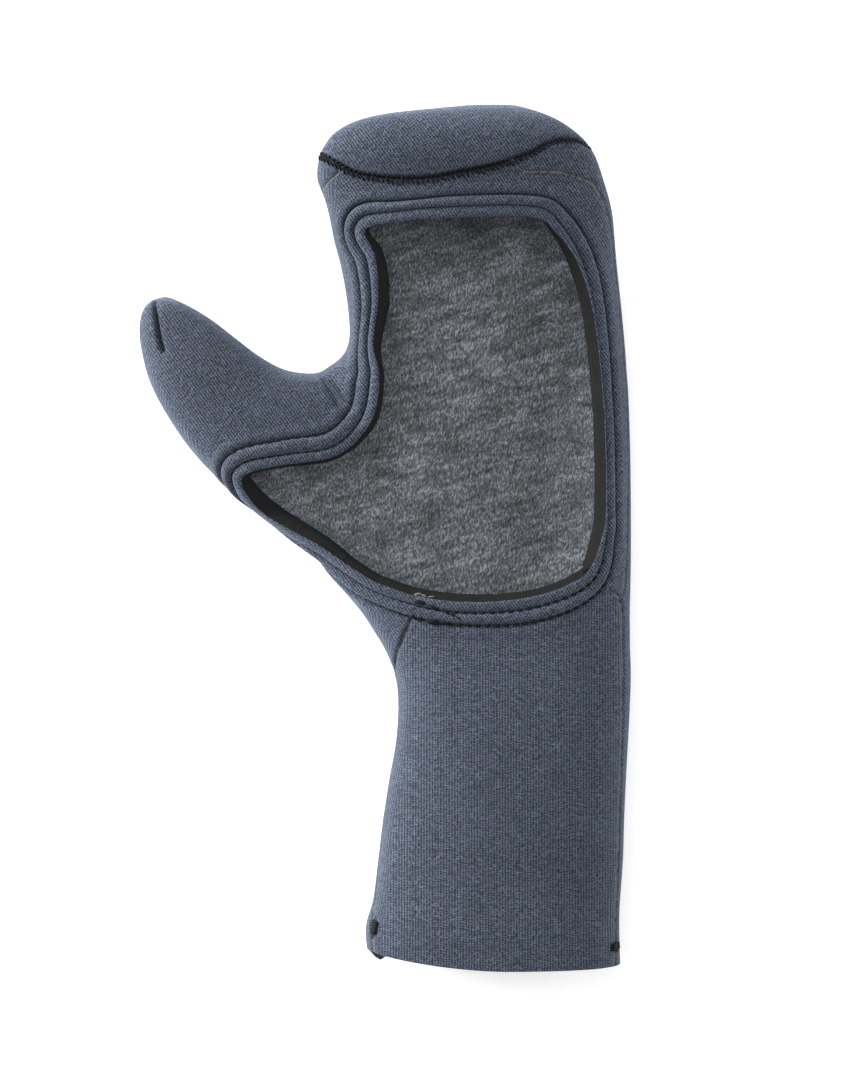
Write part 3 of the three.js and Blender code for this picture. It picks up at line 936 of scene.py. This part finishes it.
def knit_jersey(name, turn):
    """Polyester jersey laminated on foam: matt, fine rows of loops, soft pale fuzz at grazing angles, and
    painted shade in its seams and grooves.
    """
    material, tree = new_material(name)
    knit = colours().knit
    spot = object_place(tree)
    height = knit_height(tree, turn)
    fuzz = noise(tree, spot, 1900.0, 1.0, 0.6)
    level = add_math(tree, "MULTIPLY_ADD", fuzz, 0.62, -0.07)
    level = add_math(tree, "MULTIPLY_ADD", height, 0.68, level)
    tone = ramp(tree, level, knit, ((0.36, 0.22), (0.62, 0.78), (0.92, 3.2)))
    patch = map_range(tree, noise(tree, spot, 28.0, 3.0, 0.6), 0.3, 0.7, 0.88, 1.12)
    # Shade painted into the seams and the hem's grooves: it darkens the colour here and takes away the
    # sheen below.
    painted_shade = attribute(tree, "painted_shade")
    shaded = add_math(tree, "MULTIPLY", patch, add_math(tree, "MULTIPLY_ADD", painted_shade, -0.82, 1.0))
    toned = add_node(tree, "ShaderNodeVectorMath", {"operation": "SCALE"}, {0: tone, 3: shaded})
    colour = add_node(tree, "ShaderNodeMix", {"data_type": "RGBA"}, {
        0: glue_showing(tree, spot), 6: toned.outputs[0], 7: linear(colours().glue)})
    relief = add_math(tree, "MULTIPLY_ADD", fuzz, 0.6, height)
    sheen = add_math(tree, "MULTIPLY_ADD", painted_shade, -0.65, 0.65)
    surface(tree, colour.outputs[2], relief, 0.92, sheen, shade(knit, 7.5), bump=0.34 * MM, strength=0.9)
    return material


def drawn_out(tree, spot, turn, longer):
    """Places drawn out at a turn in the plan, so that a pattern laid on them runs in streaks."""
    made = add_node(tree, "ShaderNodeMapping", {"vector_type": "TEXTURE"}, {
        "Vector": spot, "Rotation": (0, 0, math.radians(turn)), "Scale": (longer, 1.0, 1.0)})
    return made.outputs["Vector"]


def brushed_plush():
    """Brushed polyester pile in heathered greys: pale and dark fibre flecks that lie along the hand."""
    material, tree = new_material("brushed heather plush")
    spot = object_place(tree)
    fleck = noise(tree, drawn_out(tree, spot, 74, 2.4), 2000.0, 1.0, 0.6)
    streak = noise(tree, drawn_out(tree, spot, 17, 4.5), 330.0, 2.0, 0.6)
    cloud = noise(tree, spot, 45.0, 3.0)
    mixed = add_math(tree, "MULTIPLY_ADD", fleck, 0.58, add_math(tree, "MULTIPLY", streak, 0.32))
    level = add_math(tree, "MULTIPLY_ADD", cloud, 0.16, mixed)
    tone = ramp(tree, level, colours().plush, ((0.38, 0.28), (0.54, 0.85), (0.70, 2.6)))
    surface(tree, tone, level, 1.0, sheen=0.08, bump=0.6 * MM, strength=0.8)
    return material


def cut_foam():
    """Sliced black neoprene foam: dull, with tiny open cells."""
    material, tree = new_material("cut neoprene foam")
    cells = add_node(tree, "ShaderNodeTexVoronoi", None,
                     {"Vector": object_place(tree), "Scale": 1 / (0.45 * MM)}).outputs["Distance"]
    tone = ramp(tree, cells, colours().foam, ((0.1, 0.55), (0.7, 1.5)))
    surface(tree, tone, cells, 0.85, bump=0.2 * MM)
    return material


def spun_thread():
    """Black spun polyester thread: a little sheen and a fine twist."""
    material, tree = new_material("spun polyester thread")
    twist = noise(tree, object_place(tree), 2500.0, 1.0)
    tone = ramp(tree, twist, colours().thread, ((0.3, 0.6), (0.7, 1.7)))
    surface(tree, tone, twist, 0.75, bump=0.1 * MM)
    return material


def dried_glue():
    """Contact glue dried to a dull grey skin."""
    material, tree = new_material("dried contact glue")
    lumps = noise(tree, object_place(tree), 1500.0)
    tone = ramp(tree, lumps, colours().glue, ((0.3, 0.5), (0.7, 1.4)))
    surface(tree, tone, lumps, 0.7, bump=0.2 * MM)
    return material


def studio_floor():
    """White opal acrylic of a light table: matt, and lit a little from below, so shadows stay faint."""
    material, tree = new_material("opal acrylic table")
    shader = add_node(tree, "ShaderNodeBsdfPrincipled", None, {
        "Base Color": linear(colours().floor),
        "Roughness": 0.9,
        "Emission Color": linear(colours().floor),
        "Emission Strength": 0.55,
    })
    add_node(tree, "ShaderNodeOutputMaterial", None, {"Surface": shader.outputs["BSDF"]})
    return material


# Finishes that are made so far
MATERIALS = {}


def material_of(name):
    """Each finish is made once, when a piece first asks for it."""
    makers = {
        "knit": lambda: knit_jersey("knit jersey upright", 0),
        "knit_slant": lambda: knit_jersey("knit jersey slanted", KNIT_SLANT),
        "plush": brushed_plush,
        "foam": cut_foam,
        "thread": spun_thread,
        "glue": dried_glue,
        "floor": studio_floor,
    }
    if name not in MATERIALS:
        MATERIALS[name] = makers[name]()
    return MATERIALS[name]


# Grids laid on the form

def grid_object(name, lines, finish):
    """A ring of squares whose rows are the given lines of places, each closed on itself."""
    columns = len(lines[0])
    bm = bmesh.new()
    made = bmesh.ops.create_grid(bm, x_segments=columns, y_segments=len(lines) - 1, size=1.0)["verts"]
    for i, vert in enumerate(made):
        line, column = divmod(i, columns + 1)
        vert.co = lines[line][column % columns]
    bmesh.ops.remove_doubles(bm, verts=bm.verts, dist=1e-7)
    bmesh.ops.recalc_face_normals(bm, faces=bm.faces)
    return smooth_object(name, bm, finish)


def face_up(obj):
    """Turns the whole sheet over if its faces look down rather than up."""
    if sum(face.normal.z * face.area for face in obj.data.polygons) < 0:
        obj.data.flip_normals()


def roll_height(share, raise_by, sink):
    """A round ridge: deep at both sides and high between them."""
    return -sink + (raise_by + sink) * math.sqrt(max(0.0, 1 - abs(2 * share - 1) ** 2.4))


def shoulder_height(distance, sink, rise=0.7 * MM, swell=0.55 * MM, crest=2.4 * MM,
                    spread=2.5 * MM, fall=0.16 * MM):
    """The palm's padding rises out of the outer groove, swells to a crest and dies away."""
    climb = 1 - math.exp(-distance / rise)
    height = swell * math.exp(-(((distance - crest) / spread) ** 2))
    return height * climb - sink * (1 - climb) - fall * (distance / sizes().hem_shoulder) ** 2


def march(place, direction, steps, follow=0.35):
    """Walks over the form from a place in a plan direction: place and normal at each step."""
    tree = FORM["tree"]
    found = [(place, tree.find_nearest(place)[1])]
    for _ in range(steps):
        here, normal = found[-1]
        ahead = direction - normal * direction.dot(normal)
        if ahead.length < 1e-3:
            ahead = Vector((0, 0, -1)) - normal * -normal.z
        there, turned, _, _ = tree.find_nearest(here + ahead.normalized() * HEM_PITCH)
        found.append((there, turned))
        direction = (direction + ahead.normalized() * follow).normalized()
    return found


def averaged(rows, reach):
    """Each column averaged with its neighbours round the ring, to take the facets out."""
    total = sum(np.roll(rows, shift, axis=1) for shift in range(-reach, reach + 1))
    return total / (2 * reach + 1)


def plan_to_surface(paths, normals, widths):
    """How far along the sloping surface each path reaches a width that is measured in plan."""
    reach = []
    for path, normal, width in zip(paths, normals, widths):
        start = path[0][0]
        run = [(place.x - start.x) * normal[0] + (place.y - start.y) * normal[1] for place, _ in path]
        past = next((k for k, distance in enumerate(run) if distance >= width), len(run) - 1)
        reach.append(min(past * HEM_PITCH, HEM_MOST))
    return averaged(np.array([reach]), 14)[0]


def wobble(chance, reach):
    """A row of random values round the hem, smoothed over reach places each way."""
    return averaged(np.array([[chance.uniform(-1, 1) for _ in range(HEM_COUNT)]]), reach)[0]


def hem_samples():
    """Rows of the hem from its cut edge outwards: which band each is in and its share of the band."""
    bands = []
    for band, count in ((0, INNER_STEPS), (1, OUTER_STEPS)):
        bands += [(band, (1 - math.cos(math.pi * k / count)) / 2) for k in range(count)]
    return bands + [(2, (k / SHOULDER_STEPS) ** 1.3) for k in range(SHOULDER_STEPS + 1)]


def on_path(path, distance):
    """Place and upward direction at a distance along a path over the form."""
    k = min(max(distance / HEM_PITCH, 0.0), len(path) - 2.001)
    (here, up), (there, turned) = path[int(k)], path[int(k) + 1]
    return here.lerp(there, k - int(k)), up.lerp(turned, k - int(k))


def hem_height(band, share, groove, past):
    """Height over the form at a share of a band; a narrow inner roll has a shallow groove."""
    raise_by, sink = sizes().hem_raise, sizes().hem_sink
    inner_sink = sink * min(1.0, max(0.0, groove / (1.7 * MM) - 0.25))
    if band == 0:
        return roll_height(0.15 + 0.85 * share, raise_by, inner_sink)
    if band == 1:
        return roll_height(share, raise_by * 1.15, inner_sink + (sink - inner_sink) * share)
    return shoulder_height(past, sink)


def make_hem():
    """The hem's rows over the form: their places, upward directions and heights."""
    rows = opening_rows(HEM_COUNT)
    normals = averaged(np.array([outward(rows[:, :2])]), 5)[0]
    steps = int((HEM_MOST + sizes().hem_shoulder) / HEM_PITCH) + 2
    paths = [march(drape(x, y)[0], Vector((nx, ny, 0)).normalized(), steps)
             for (x, y, *_), (nx, ny) in zip(rows, normals)]
    widths = plan_to_surface(paths, normals, rows[:, 2])
    grooves = plan_to_surface(paths, normals, rows[:, 2] * rows[:, 3])
    chance = random.Random(3)
    wander = wobble(chance, 7) + wobble(chance, 1) * 0.12
    samples = hem_samples()
    places, ups = np.empty((2, len(samples), HEM_COUNT, 3))
    heights = np.empty((len(samples), HEM_COUNT))
    for i, path in enumerate(paths):
        ends = (wander[i] * WANDER, grooves[i], widths[i], widths[i] + sizes().hem_shoulder)
        for j, (band, share) in enumerate(samples):
            distance = ends[band] + (ends[band + 1] - ends[band]) * share
            places[j, i], ups[j, i] = on_path(path, distance)
            heights[j, i] = hem_height(band, share, grooves[i], distance - widths[i])
    ups = averaged(ups, 6)
    ups /= np.linalg.norm(ups, axis=2)[:, :, None]
    cut_row = next(j for j, (band, share) in enumerate(samples) if band == 2 and share > SKIN_START)
    return {"rows": rows, "normals": normals, "places": averaged(places, 1), "ups": ups,
            "heights": heights, "cut_row": cut_row}


def stitch_fullness(share):
    """How much the stitches show round the opening, clockwise from its top left corner."""
    marks = (0.0, 0.20, 0.38, 0.42, 0.50, 0.54, 0.57, 0.66, 0.70, 0.76, 0.88, 1.0)
    levels = (0.1, 0.1, 0.15, 0.9, 1.0, 0.9, 0.35, 0.5, 0.5, 0.6, 0.45, 0.1)
    return float(np.interp(share, marks, levels))


class MITTEN_OT_form(bpy.types.Operator):
    """Makes the smooth form that the mitten's skin, hem and seams are laid on"""
    bl_idname = "mitten.form"
    bl_label = "Form"

    def execute(self, context):
        form = make_form()
        FORM["object"] = form
        FORM["co"] = vectors(form.data.vertices, "co")
        FORM["normals"] = vectors(form.data.vertices, "normal")
        polygons = [tuple(face.vertices) for face in form.data.polygons]
        FORM["tree"] = BVHTree.FromPolygons([Vector(place) for place in FORM["co"]], polygons)
        FORM["seams"] = seam_lines()
        FORM["hem"] = make_hem()
        return {"FINISHED"}


class MITTEN_OT_skin(bpy.types.Operator):
    """Makes the knit skin's four panels: back, fingertip cap, palm and cuff"""
    bl_idname = "mitten.skin"
    bl_label = "Knit skin"

    def execute(self, context):
        form = FORM["object"].data
        panel = panel_of(vectors(form.polygons, "center"))
        co = snap_borders(form, FORM["co"].copy(), panel)
        # Besides sinking the seams, this gives the shade painted into their grooves.
        co, glue, painted_shade = press_seams(co, FORM["normals"])
        mesh = form_copy(co)
        give_values(mesh, "glue", glue)
        give_values(mesh, "painted_shade", painted_shade)
        pieces = (
            (BACK, "knit_back", "knit_slant", "back_panel"),
            (CAP, "knit_fingertip_cap", "knit_slant", "fingertip_cap"),
            (PALM, "knit_palm", "knit_slant", "palm_panel"),
            (CUFF, "knit_cuff", "knit", "cuff_panel"),
        )
        for number, name, finish, node in pieces:
            finish_piece(take_panel(mesh, panel == number, name, finish), "knit", node)
        bpy.data.meshes.remove(mesh)
        return {"FINISHED"}


class MITTEN_OT_lining(bpy.types.Operator):
    """Makes the plush lining inside the whole mitten"""
    bl_idname = "mitten.lining"
    bl_label = "Plush lining"

    def execute(self, context):
        co = FORM["co"] - FORM["normals"] * sizes().wall
        self.pull_under(co, FORM["foam_low"])
        mesh = form_copy(co)
        centres = vectors(mesh.polygons, "center")
        rows = opening_rows(400)
        cut = rows[:, :2] - outward(rows[:, :2]) * (rows[:, 4:5] * 0.25 - 0.6 * MM)
        above = centres[:, 2] > side_height(centres[:, 1])
        keep = ~(above & inside(cut, centres[:, :2]))
        piece = take_panel(mesh, keep, "plush_lining", "plush")
        piece.data.flip_normals()
        finish_piece(piece, "plush", "back_lining")
        bpy.data.meshes.remove(mesh)
        return {"FINISHED"}

    def pull_under(self, co, edge, depth=2.5 * MM, width=1.9 * MM):
        """Draws the lining away behind the foam's inner edge, which leaves a dark crevice there."""
        for i, _, distance in near_ones(co, edge, 6 * MM):
            co[i] -= FORM["normals"][i] * depth * math.exp(-((distance / width) ** 2))


class MITTEN_OT_hem(bpy.types.Operator):
    """Makes the double-ridged hem round the palm opening and its cut foam edge"""
    bl_idname = "mitten.hem"
    bl_label = "Opening hem"

    def execute(self, context):
        hem = FORM["hem"]
        raised = hem["places"] + hem["ups"] * hem["heights"][:, :, None]
        laid, glue, painted_shade = press_seams(raised.reshape(-1, 3), hem["ups"].reshape(-1, 3))
        # The seams' painted shade, together with shade painted into the hem's grooves.
        painted_shade = np.maximum(painted_shade, self.painted_groove_shade(hem["heights"]))
        grid = [[Vector(point) for point in line] for line in laid.reshape(raised.shape)]
        piece = grid_object("knit_hem", grid, "knit_slant")
        face_up(piece)
        tree = nearest_tree([point for line in grid for point in line])
        found = [tree.find(vert.co)[1] for vert in piece.data.vertices]
        give_values(piece.data, "glue", glue[found])
        give_values(piece.data, "painted_shade", painted_shade[found])
        self.knit_as_cuff(piece, tree)
        finish_piece(piece, "knit", "opening_hem")
        self.make_foam(hem, grid[0])
        return {"FINISHED"}

    def painted_groove_shade(self, heights):
        """Shade painted into the hem's grooves, darker where they are deeper: less so where stitches fill
        them, and never at the cut edge.
        """
        sunk = np.clip((0.2 * MM - heights) / (sizes().hem_sink + 0.2 * MM), 0, 1)
        bare = np.array([1 - 0.70 * stitch_fullness(i / HEM_COUNT) for i in range(HEM_COUNT)])
        dark = sunk ** 0.8 * bare
        dark[:EDGE_ROWS] = 0
        return dark.ravel()

    def knit_as_cuff(self, piece, tree):
        """Past the outer groove, where the hem's shoulder lies on the cuff, it has the cuff's knit."""
        piece.data.materials.append(material_of("knit"))
        on_cuff = inside(cuff_outline(), vectors(piece.data.polygons, "center")[:, :2])
        for face, low_side in zip(piece.data.polygons, on_cuff):
            row = tree.find(face.center)[1] // HEM_COUNT
            face.material_index = int(low_side and row >= OUTER_ROW)

    def make_foam(self, hem, edge_line):
        """The cut face leans in from the knit's edge to the lining's edge."""
        wall = sizes().wall
        sections = []
        for (*_, foam), edge, up, normal in zip(hem["rows"], edge_line, hem["ups"][0], hem["normals"]):
            edge = np.array(edge)
            inward = -np.array([*normal, 0.0])
            turned = edge - up * 0.30 * MM + inward * 0.12 * MM
            low = edge - up * wall * 0.95 + inward * foam * 0.8
            under = low - up * 1.4 * MM - inward * 1.2 * MM
            middle = (turned + low) / 2 + up * 0.25 * MM
            sections.append([Vector(point) for point in (edge, turned, middle, low, under)])
        lines = list(zip(*sections))
        FORM["foam_low"] = lines[3]
        foam = grid_object("foam_cut_edge", lines, "foam")
        face_up(foam)
        finish_piece(foam, "foam")


def bead(bm, centre, along, up, length, width):
    """One small stitch: an eight-sided ball stretched along the thread."""
    along = along.normalized()
    side = up.cross(along).normalized()
    turn = Matrix((along, side, along.cross(side))).transposed().to_4x4()
    shape = Matrix.Translation(centre) @ turn @ Matrix.Diagonal((length / 2, width / 2, width / 2, 1))
    bmesh.ops.create_uvsphere(bm, u_segments=8, v_segments=5, radius=1.0, matrix=shape)


def stations(line, pitch):
    """Every pitch or so along a line of places and normals: number, place, normal, the direction
    ahead and the one to the side."""
    run = 0.0
    for k, ((here, up), (there, _)) in enumerate(zip(line, line[1:])):
        run += (there - here).length
        if run >= pitch:
            run = 0.0
            ahead = (there - here).normalized()
            yield k, here, up, ahead, up.cross(ahead).normalized()


class MITTEN_OT_stitches(bpy.types.Operator):
    """Sews the hem's grooves, the cap's zigzag seam and the tacks, and lays loose ends and glue"""
    bl_idname = "mitten.stitches"
    bl_label = "Stitches"

    def execute(self, context):
        self.sew_hem("thread_hem_outer", OUTER_ROW, random.Random(5))
        self.sew_hem("thread_hem_inner", INNER_ROW, random.Random(6))
        self.sew_cap(random.Random(9))
        self.sew_tacks(random.Random(4))
        self.scatter("thread_hem_ends", "thread", "thread", STITCH_ENDS, 0.95 * MM)
        self.scatter("glue_drops", "glue", "foam", GLUE_DROPS, -0.25 * MM)
        return {"FINISHED"}

    def sew_hem(self, name, row, chance):
        """Stitches lie deep in the groove; they swell along the bottom and the thumb's side."""
        hem, stitch = FORM["hem"], sizes().stitch
        line = [(Vector(here), Vector(up)) for here, up in zip(hem["places"][row], hem["ups"][row])]
        bm = bmesh.new()
        for k, here, up, ahead, side in stations(line + line[:1], stitch * 1.5):
            full = stitch_fullness(k / HEM_COUNT)
            slant = ahead + side * chance.uniform(-0.30, 0.12) * (0.4 + full)
            centre = here - up * (0.95 - 1.10 * full) * MM
            bead(bm, centre, slant, up, stitch * (1.0 + 0.15 * full), (0.5 + 0.95 * full) * MM)
        finish_piece(smooth_object(name, bm, "thread"), "thread")

    def sew_cap(self, chance):
        """A laid thread along the butted seam with teeth that lean over both sides of it."""
        line = FORM["seams"]["cap"][0]
        bm = bmesh.new()
        for k, here, up, ahead, side in stations(line, sizes().zigzag):
            share = k / len(line)
            full = np.interp(share, (0.0, 0.2, 0.62, 0.80, 1.0), (0.95, 0.9, 1.0, 0.75, 0.5)) * MM
            tight = float(np.interp(share, (0.10, 0.25, 0.55, 0.62), (1.0, 0.45, 0.45, 1.0)))
            upper = ahead * (1.2 + chance.uniform(-0.2, 0.2)) + side * tight
            centre = here + side * (0.80 + chance.uniform(-0.1, 0.15)) * full
            bead(bm, centre, upper, up, (2.2 + chance.uniform(-0.3, 0.3)) * full, 0.62 * full)
            lower = ahead * (tight + chance.uniform(-0.45, 0.25)) - side
            centre = here - side * (1.15 + chance.uniform(-0.2, 0.35)) * full + up * 0.08 * MM
            bead(bm, centre, lower, up, (3.0 + chance.uniform(-0.6, 0.9)) * full, 0.84 * full)
            if share < 0.68:
                bead(bm, here + side * 0.1 * MM - up * 0.75 * MM, ahead, up, 1.9 * MM, 0.75 * MM)
        finish_piece(smooth_object("thread_cap_zigzag", bm, "thread"), "thread")

    def sew_tacks(self, chance):
        """Satin stitches laid side by side over the two tacks of the cuff's side seams."""
        bm = bmesh.new()
        for node, run in zip(TACKS, (Vector((0, 1, 0)), Vector((1, 0, 0)))):
            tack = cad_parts[node]
            corners = np.array([tack.matrix_world @ Vector(corner) for corner in tack.bound_box])
            wide, tall, _ = np.ptp(corners, axis=0)
            length, reach = (tall, wide) if run.y else (wide, tall)
            here, up, _, _ = FORM["tree"].find_nearest(Vector(corners.mean(axis=0)))
            run = (run - up * run.dot(up)).normalized()
            over = up.cross(run)
            count = int(length / (0.5 * MM))
            for k in range(count + 1):
                spot = here + run * (k / count - 0.5) * length + up * chance.uniform(0.5, 0.8) * MM
                lean = over + run * chance.uniform(-0.35, 0.35)
                bead(bm, spot, lean, up, reach + chance.uniform(0.1, 1.5) * MM, 0.65 * MM)
            for turn in (-1, 1):
                spot = here + run * turn * (length / 2 + 0.8 * MM) + up * 0.35 * MM
                bead(bm, spot, run + over * chance.uniform(-0.8, 0.8), up, 2.6 * MM, 0.4 * MM)
        finish_piece(smooth_object("thread_tacks", bm, "thread"), "thread")

    def scatter(self, name, finish, slot, table, raise_by):
        """Short loose bits that lie on the hem."""
        bm = bmesh.new()
        for across, along, turn, length, width in table:
            here, up = drape(*hand_place(across, along))
            ahead = Vector((math.cos(math.radians(turn)), math.sin(math.radians(turn)), 0))
            bead(bm, here + up * raise_by, ahead - up * ahead.dot(up), up, length * MM, width * MM)
        finish_piece(smooth_object(name, bm, finish), slot)


class MITTEN_OT_mouth(bpy.types.Operator):
    """Makes the cuff mouth's cut edge and finishes its two stitch tacks"""
    bl_idname = "mitten.mouth"
    bl_label = "Cuff mouth"

    def execute(self, context):
        ring = body_ring(*body_rows()[1], sides=200)
        wall = sizes().wall / MM
        steps = ((0.0, 0.0), (0.5, -0.12), (wall / 2, -0.18), (wall, 0.0))
        grid = [self.edge_line(ring, inset, ahead) for inset, ahead in steps]
        finish_piece(grid_object("foam_mouth_edge", grid, "foam"), "foam")
        for node in TACKS:
            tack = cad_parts[node]
            tack.data.materials.clear()
            tack.data.materials.append(material_of("thread"))
        return {"FINISHED"}

    def edge_line(self, ring, inset, ahead):
        """A line round the mouth, so many mm in and ahead; the foam turns out at the thumb side."""
        mouth = wrist_y() - sizes().cuff_length
        centre = sum(ring, Vector()) / len(ring)
        turned = drape(*cuff_place(-0.475, 0.99))[0]
        line = []
        for i, point in enumerate(ring):
            run = ring[(i + 1) % len(ring)] - ring[i - 1]
            inward = Vector((-run.z, 0, run.x)).normalized()
            if inward.dot(centre - point) < 0:
                inward = -inward
            spot = point + inward * inset * MM
            corner = math.dist((point.x, point.z), (turned.x, turned.z)) / (4.0 * MM)
            out = (ahead - 1.1 * min(inset, 2.4) * math.exp(-corner ** 2)) * MM
            spot = Vector((spot.x, mouth + out, max(spot.z, inset * MM)))
            spot.y += mouth_lift(spot)
            line.append(spot)
        return line


class MITTEN_OT_stage(bpy.types.Operator):
    """Lays the pale floor and sets the lights and the camera"""
    bl_idname = "mitten.stage"
    bl_label = "Stage"

    def execute(self, context):
        bm = bmesh.new()
        bmesh.ops.create_grid(bm, x_segments=1, y_segments=1, size=3.0)
        floor = mesh_object("studio_floor", bm)
        floor.data.materials.append(material_of("floor"))
        floor.location.z = -0.2 * MM
        for lamp in LAMPS:
            self.light(*lamp)
        world = bpy.data.worlds.new("soft room")
        world.use_nodes = True
        room = world.node_tree.nodes["Background"].inputs
        room["Color"].default_value = (1, 1, 1, 1)
        room["Strength"].default_value = 0.25
        context.scene.world = world
        context.scene.view_settings.view_transform = "Standard"
        self.camera(context)
        return {"FINISHED"}

    def light(self, name, place, size, power):
        data = bpy.data.lights.new(name, "AREA")
        data.size = size
        data.energy = power
        lamp = bpy.data.objects.new(name, data)
        lamp.location = place
        lamp.rotation_euler = (-Vector(place)).to_track_quat("-Z", "Y").to_euler()
        bpy.context.scene.collection.objects.link(lamp)

    def camera(self, context):
        """Straight above, with a lens that shows the picture's rows over the mitten's length."""
        data = bpy.data.cameras.new("camera")
        data.sensor_fit = "AUTO"
        data.sensor_width = 36.0
        distance = EYE[2] - sizes().hand_depth / 2
        data.lens = data.sensor_width * distance / (PICTURE_ROWS * PIXEL)
        data.clip_start = 0.05
        eye = bpy.data.objects.new("camera", data)
        eye.location = EYE
        context.scene.collection.objects.link(eye)
        context.scene.camera = eye


class MITTEN_PT_panel(bpy.types.Panel):
    """Lists the mitten's pieces in the order that they are made"""
    bl_label = "Mitten"
    bl_idname = "MITTEN_PT_panel"
    bl_space_type = "VIEW_3D"
    bl_region_type = "UI"
    bl_category = "Mitten"

    def draw(self, context):
        for group in (context.scene.mitten_sizes, context.scene.mitten_colours):
            for name in group.__annotations__:
                self.layout.prop(group, name)
        for operator in OPERATORS:
            self.layout.operator(operator.bl_idname)


OPERATORS = (
    MITTEN_OT_form,
    MITTEN_OT_skin,
    MITTEN_OT_hem,
    MITTEN_OT_lining,
    MITTEN_OT_stitches,
    MITTEN_OT_mouth,
    MITTEN_OT_stage,
)
CLASSES = (MittenSizes, MittenColours, *OPERATORS, MITTEN_PT_panel)


def register():
    for cls in CLASSES:
        bpy.utils.register_class(cls)
    bpy.types.Scene.mitten_sizes = bpy.props.PointerProperty(type=MittenSizes)
    bpy.types.Scene.mitten_colours = bpy.props.PointerProperty(type=MittenColours)


def unregister():
    del bpy.types.Scene.mitten_colours
    del bpy.types.Scene.mitten_sizes
    for cls in reversed(CLASSES):
        bpy.utils.unregister_class(cls)


def main():
    register()
    bpy.ops.mitten.form()
    bpy.ops.mitten.skin()
    bpy.ops.mitten.hem()
    bpy.ops.mitten.lining()
    bpy.ops.mitten.stitches()
    bpy.ops.mitten.mouth()
    bpy.ops.mitten.stage()
    bpy.data.objects.remove(FORM["object"], do_unlink=True)


if __name__ == "__main__":
    main()
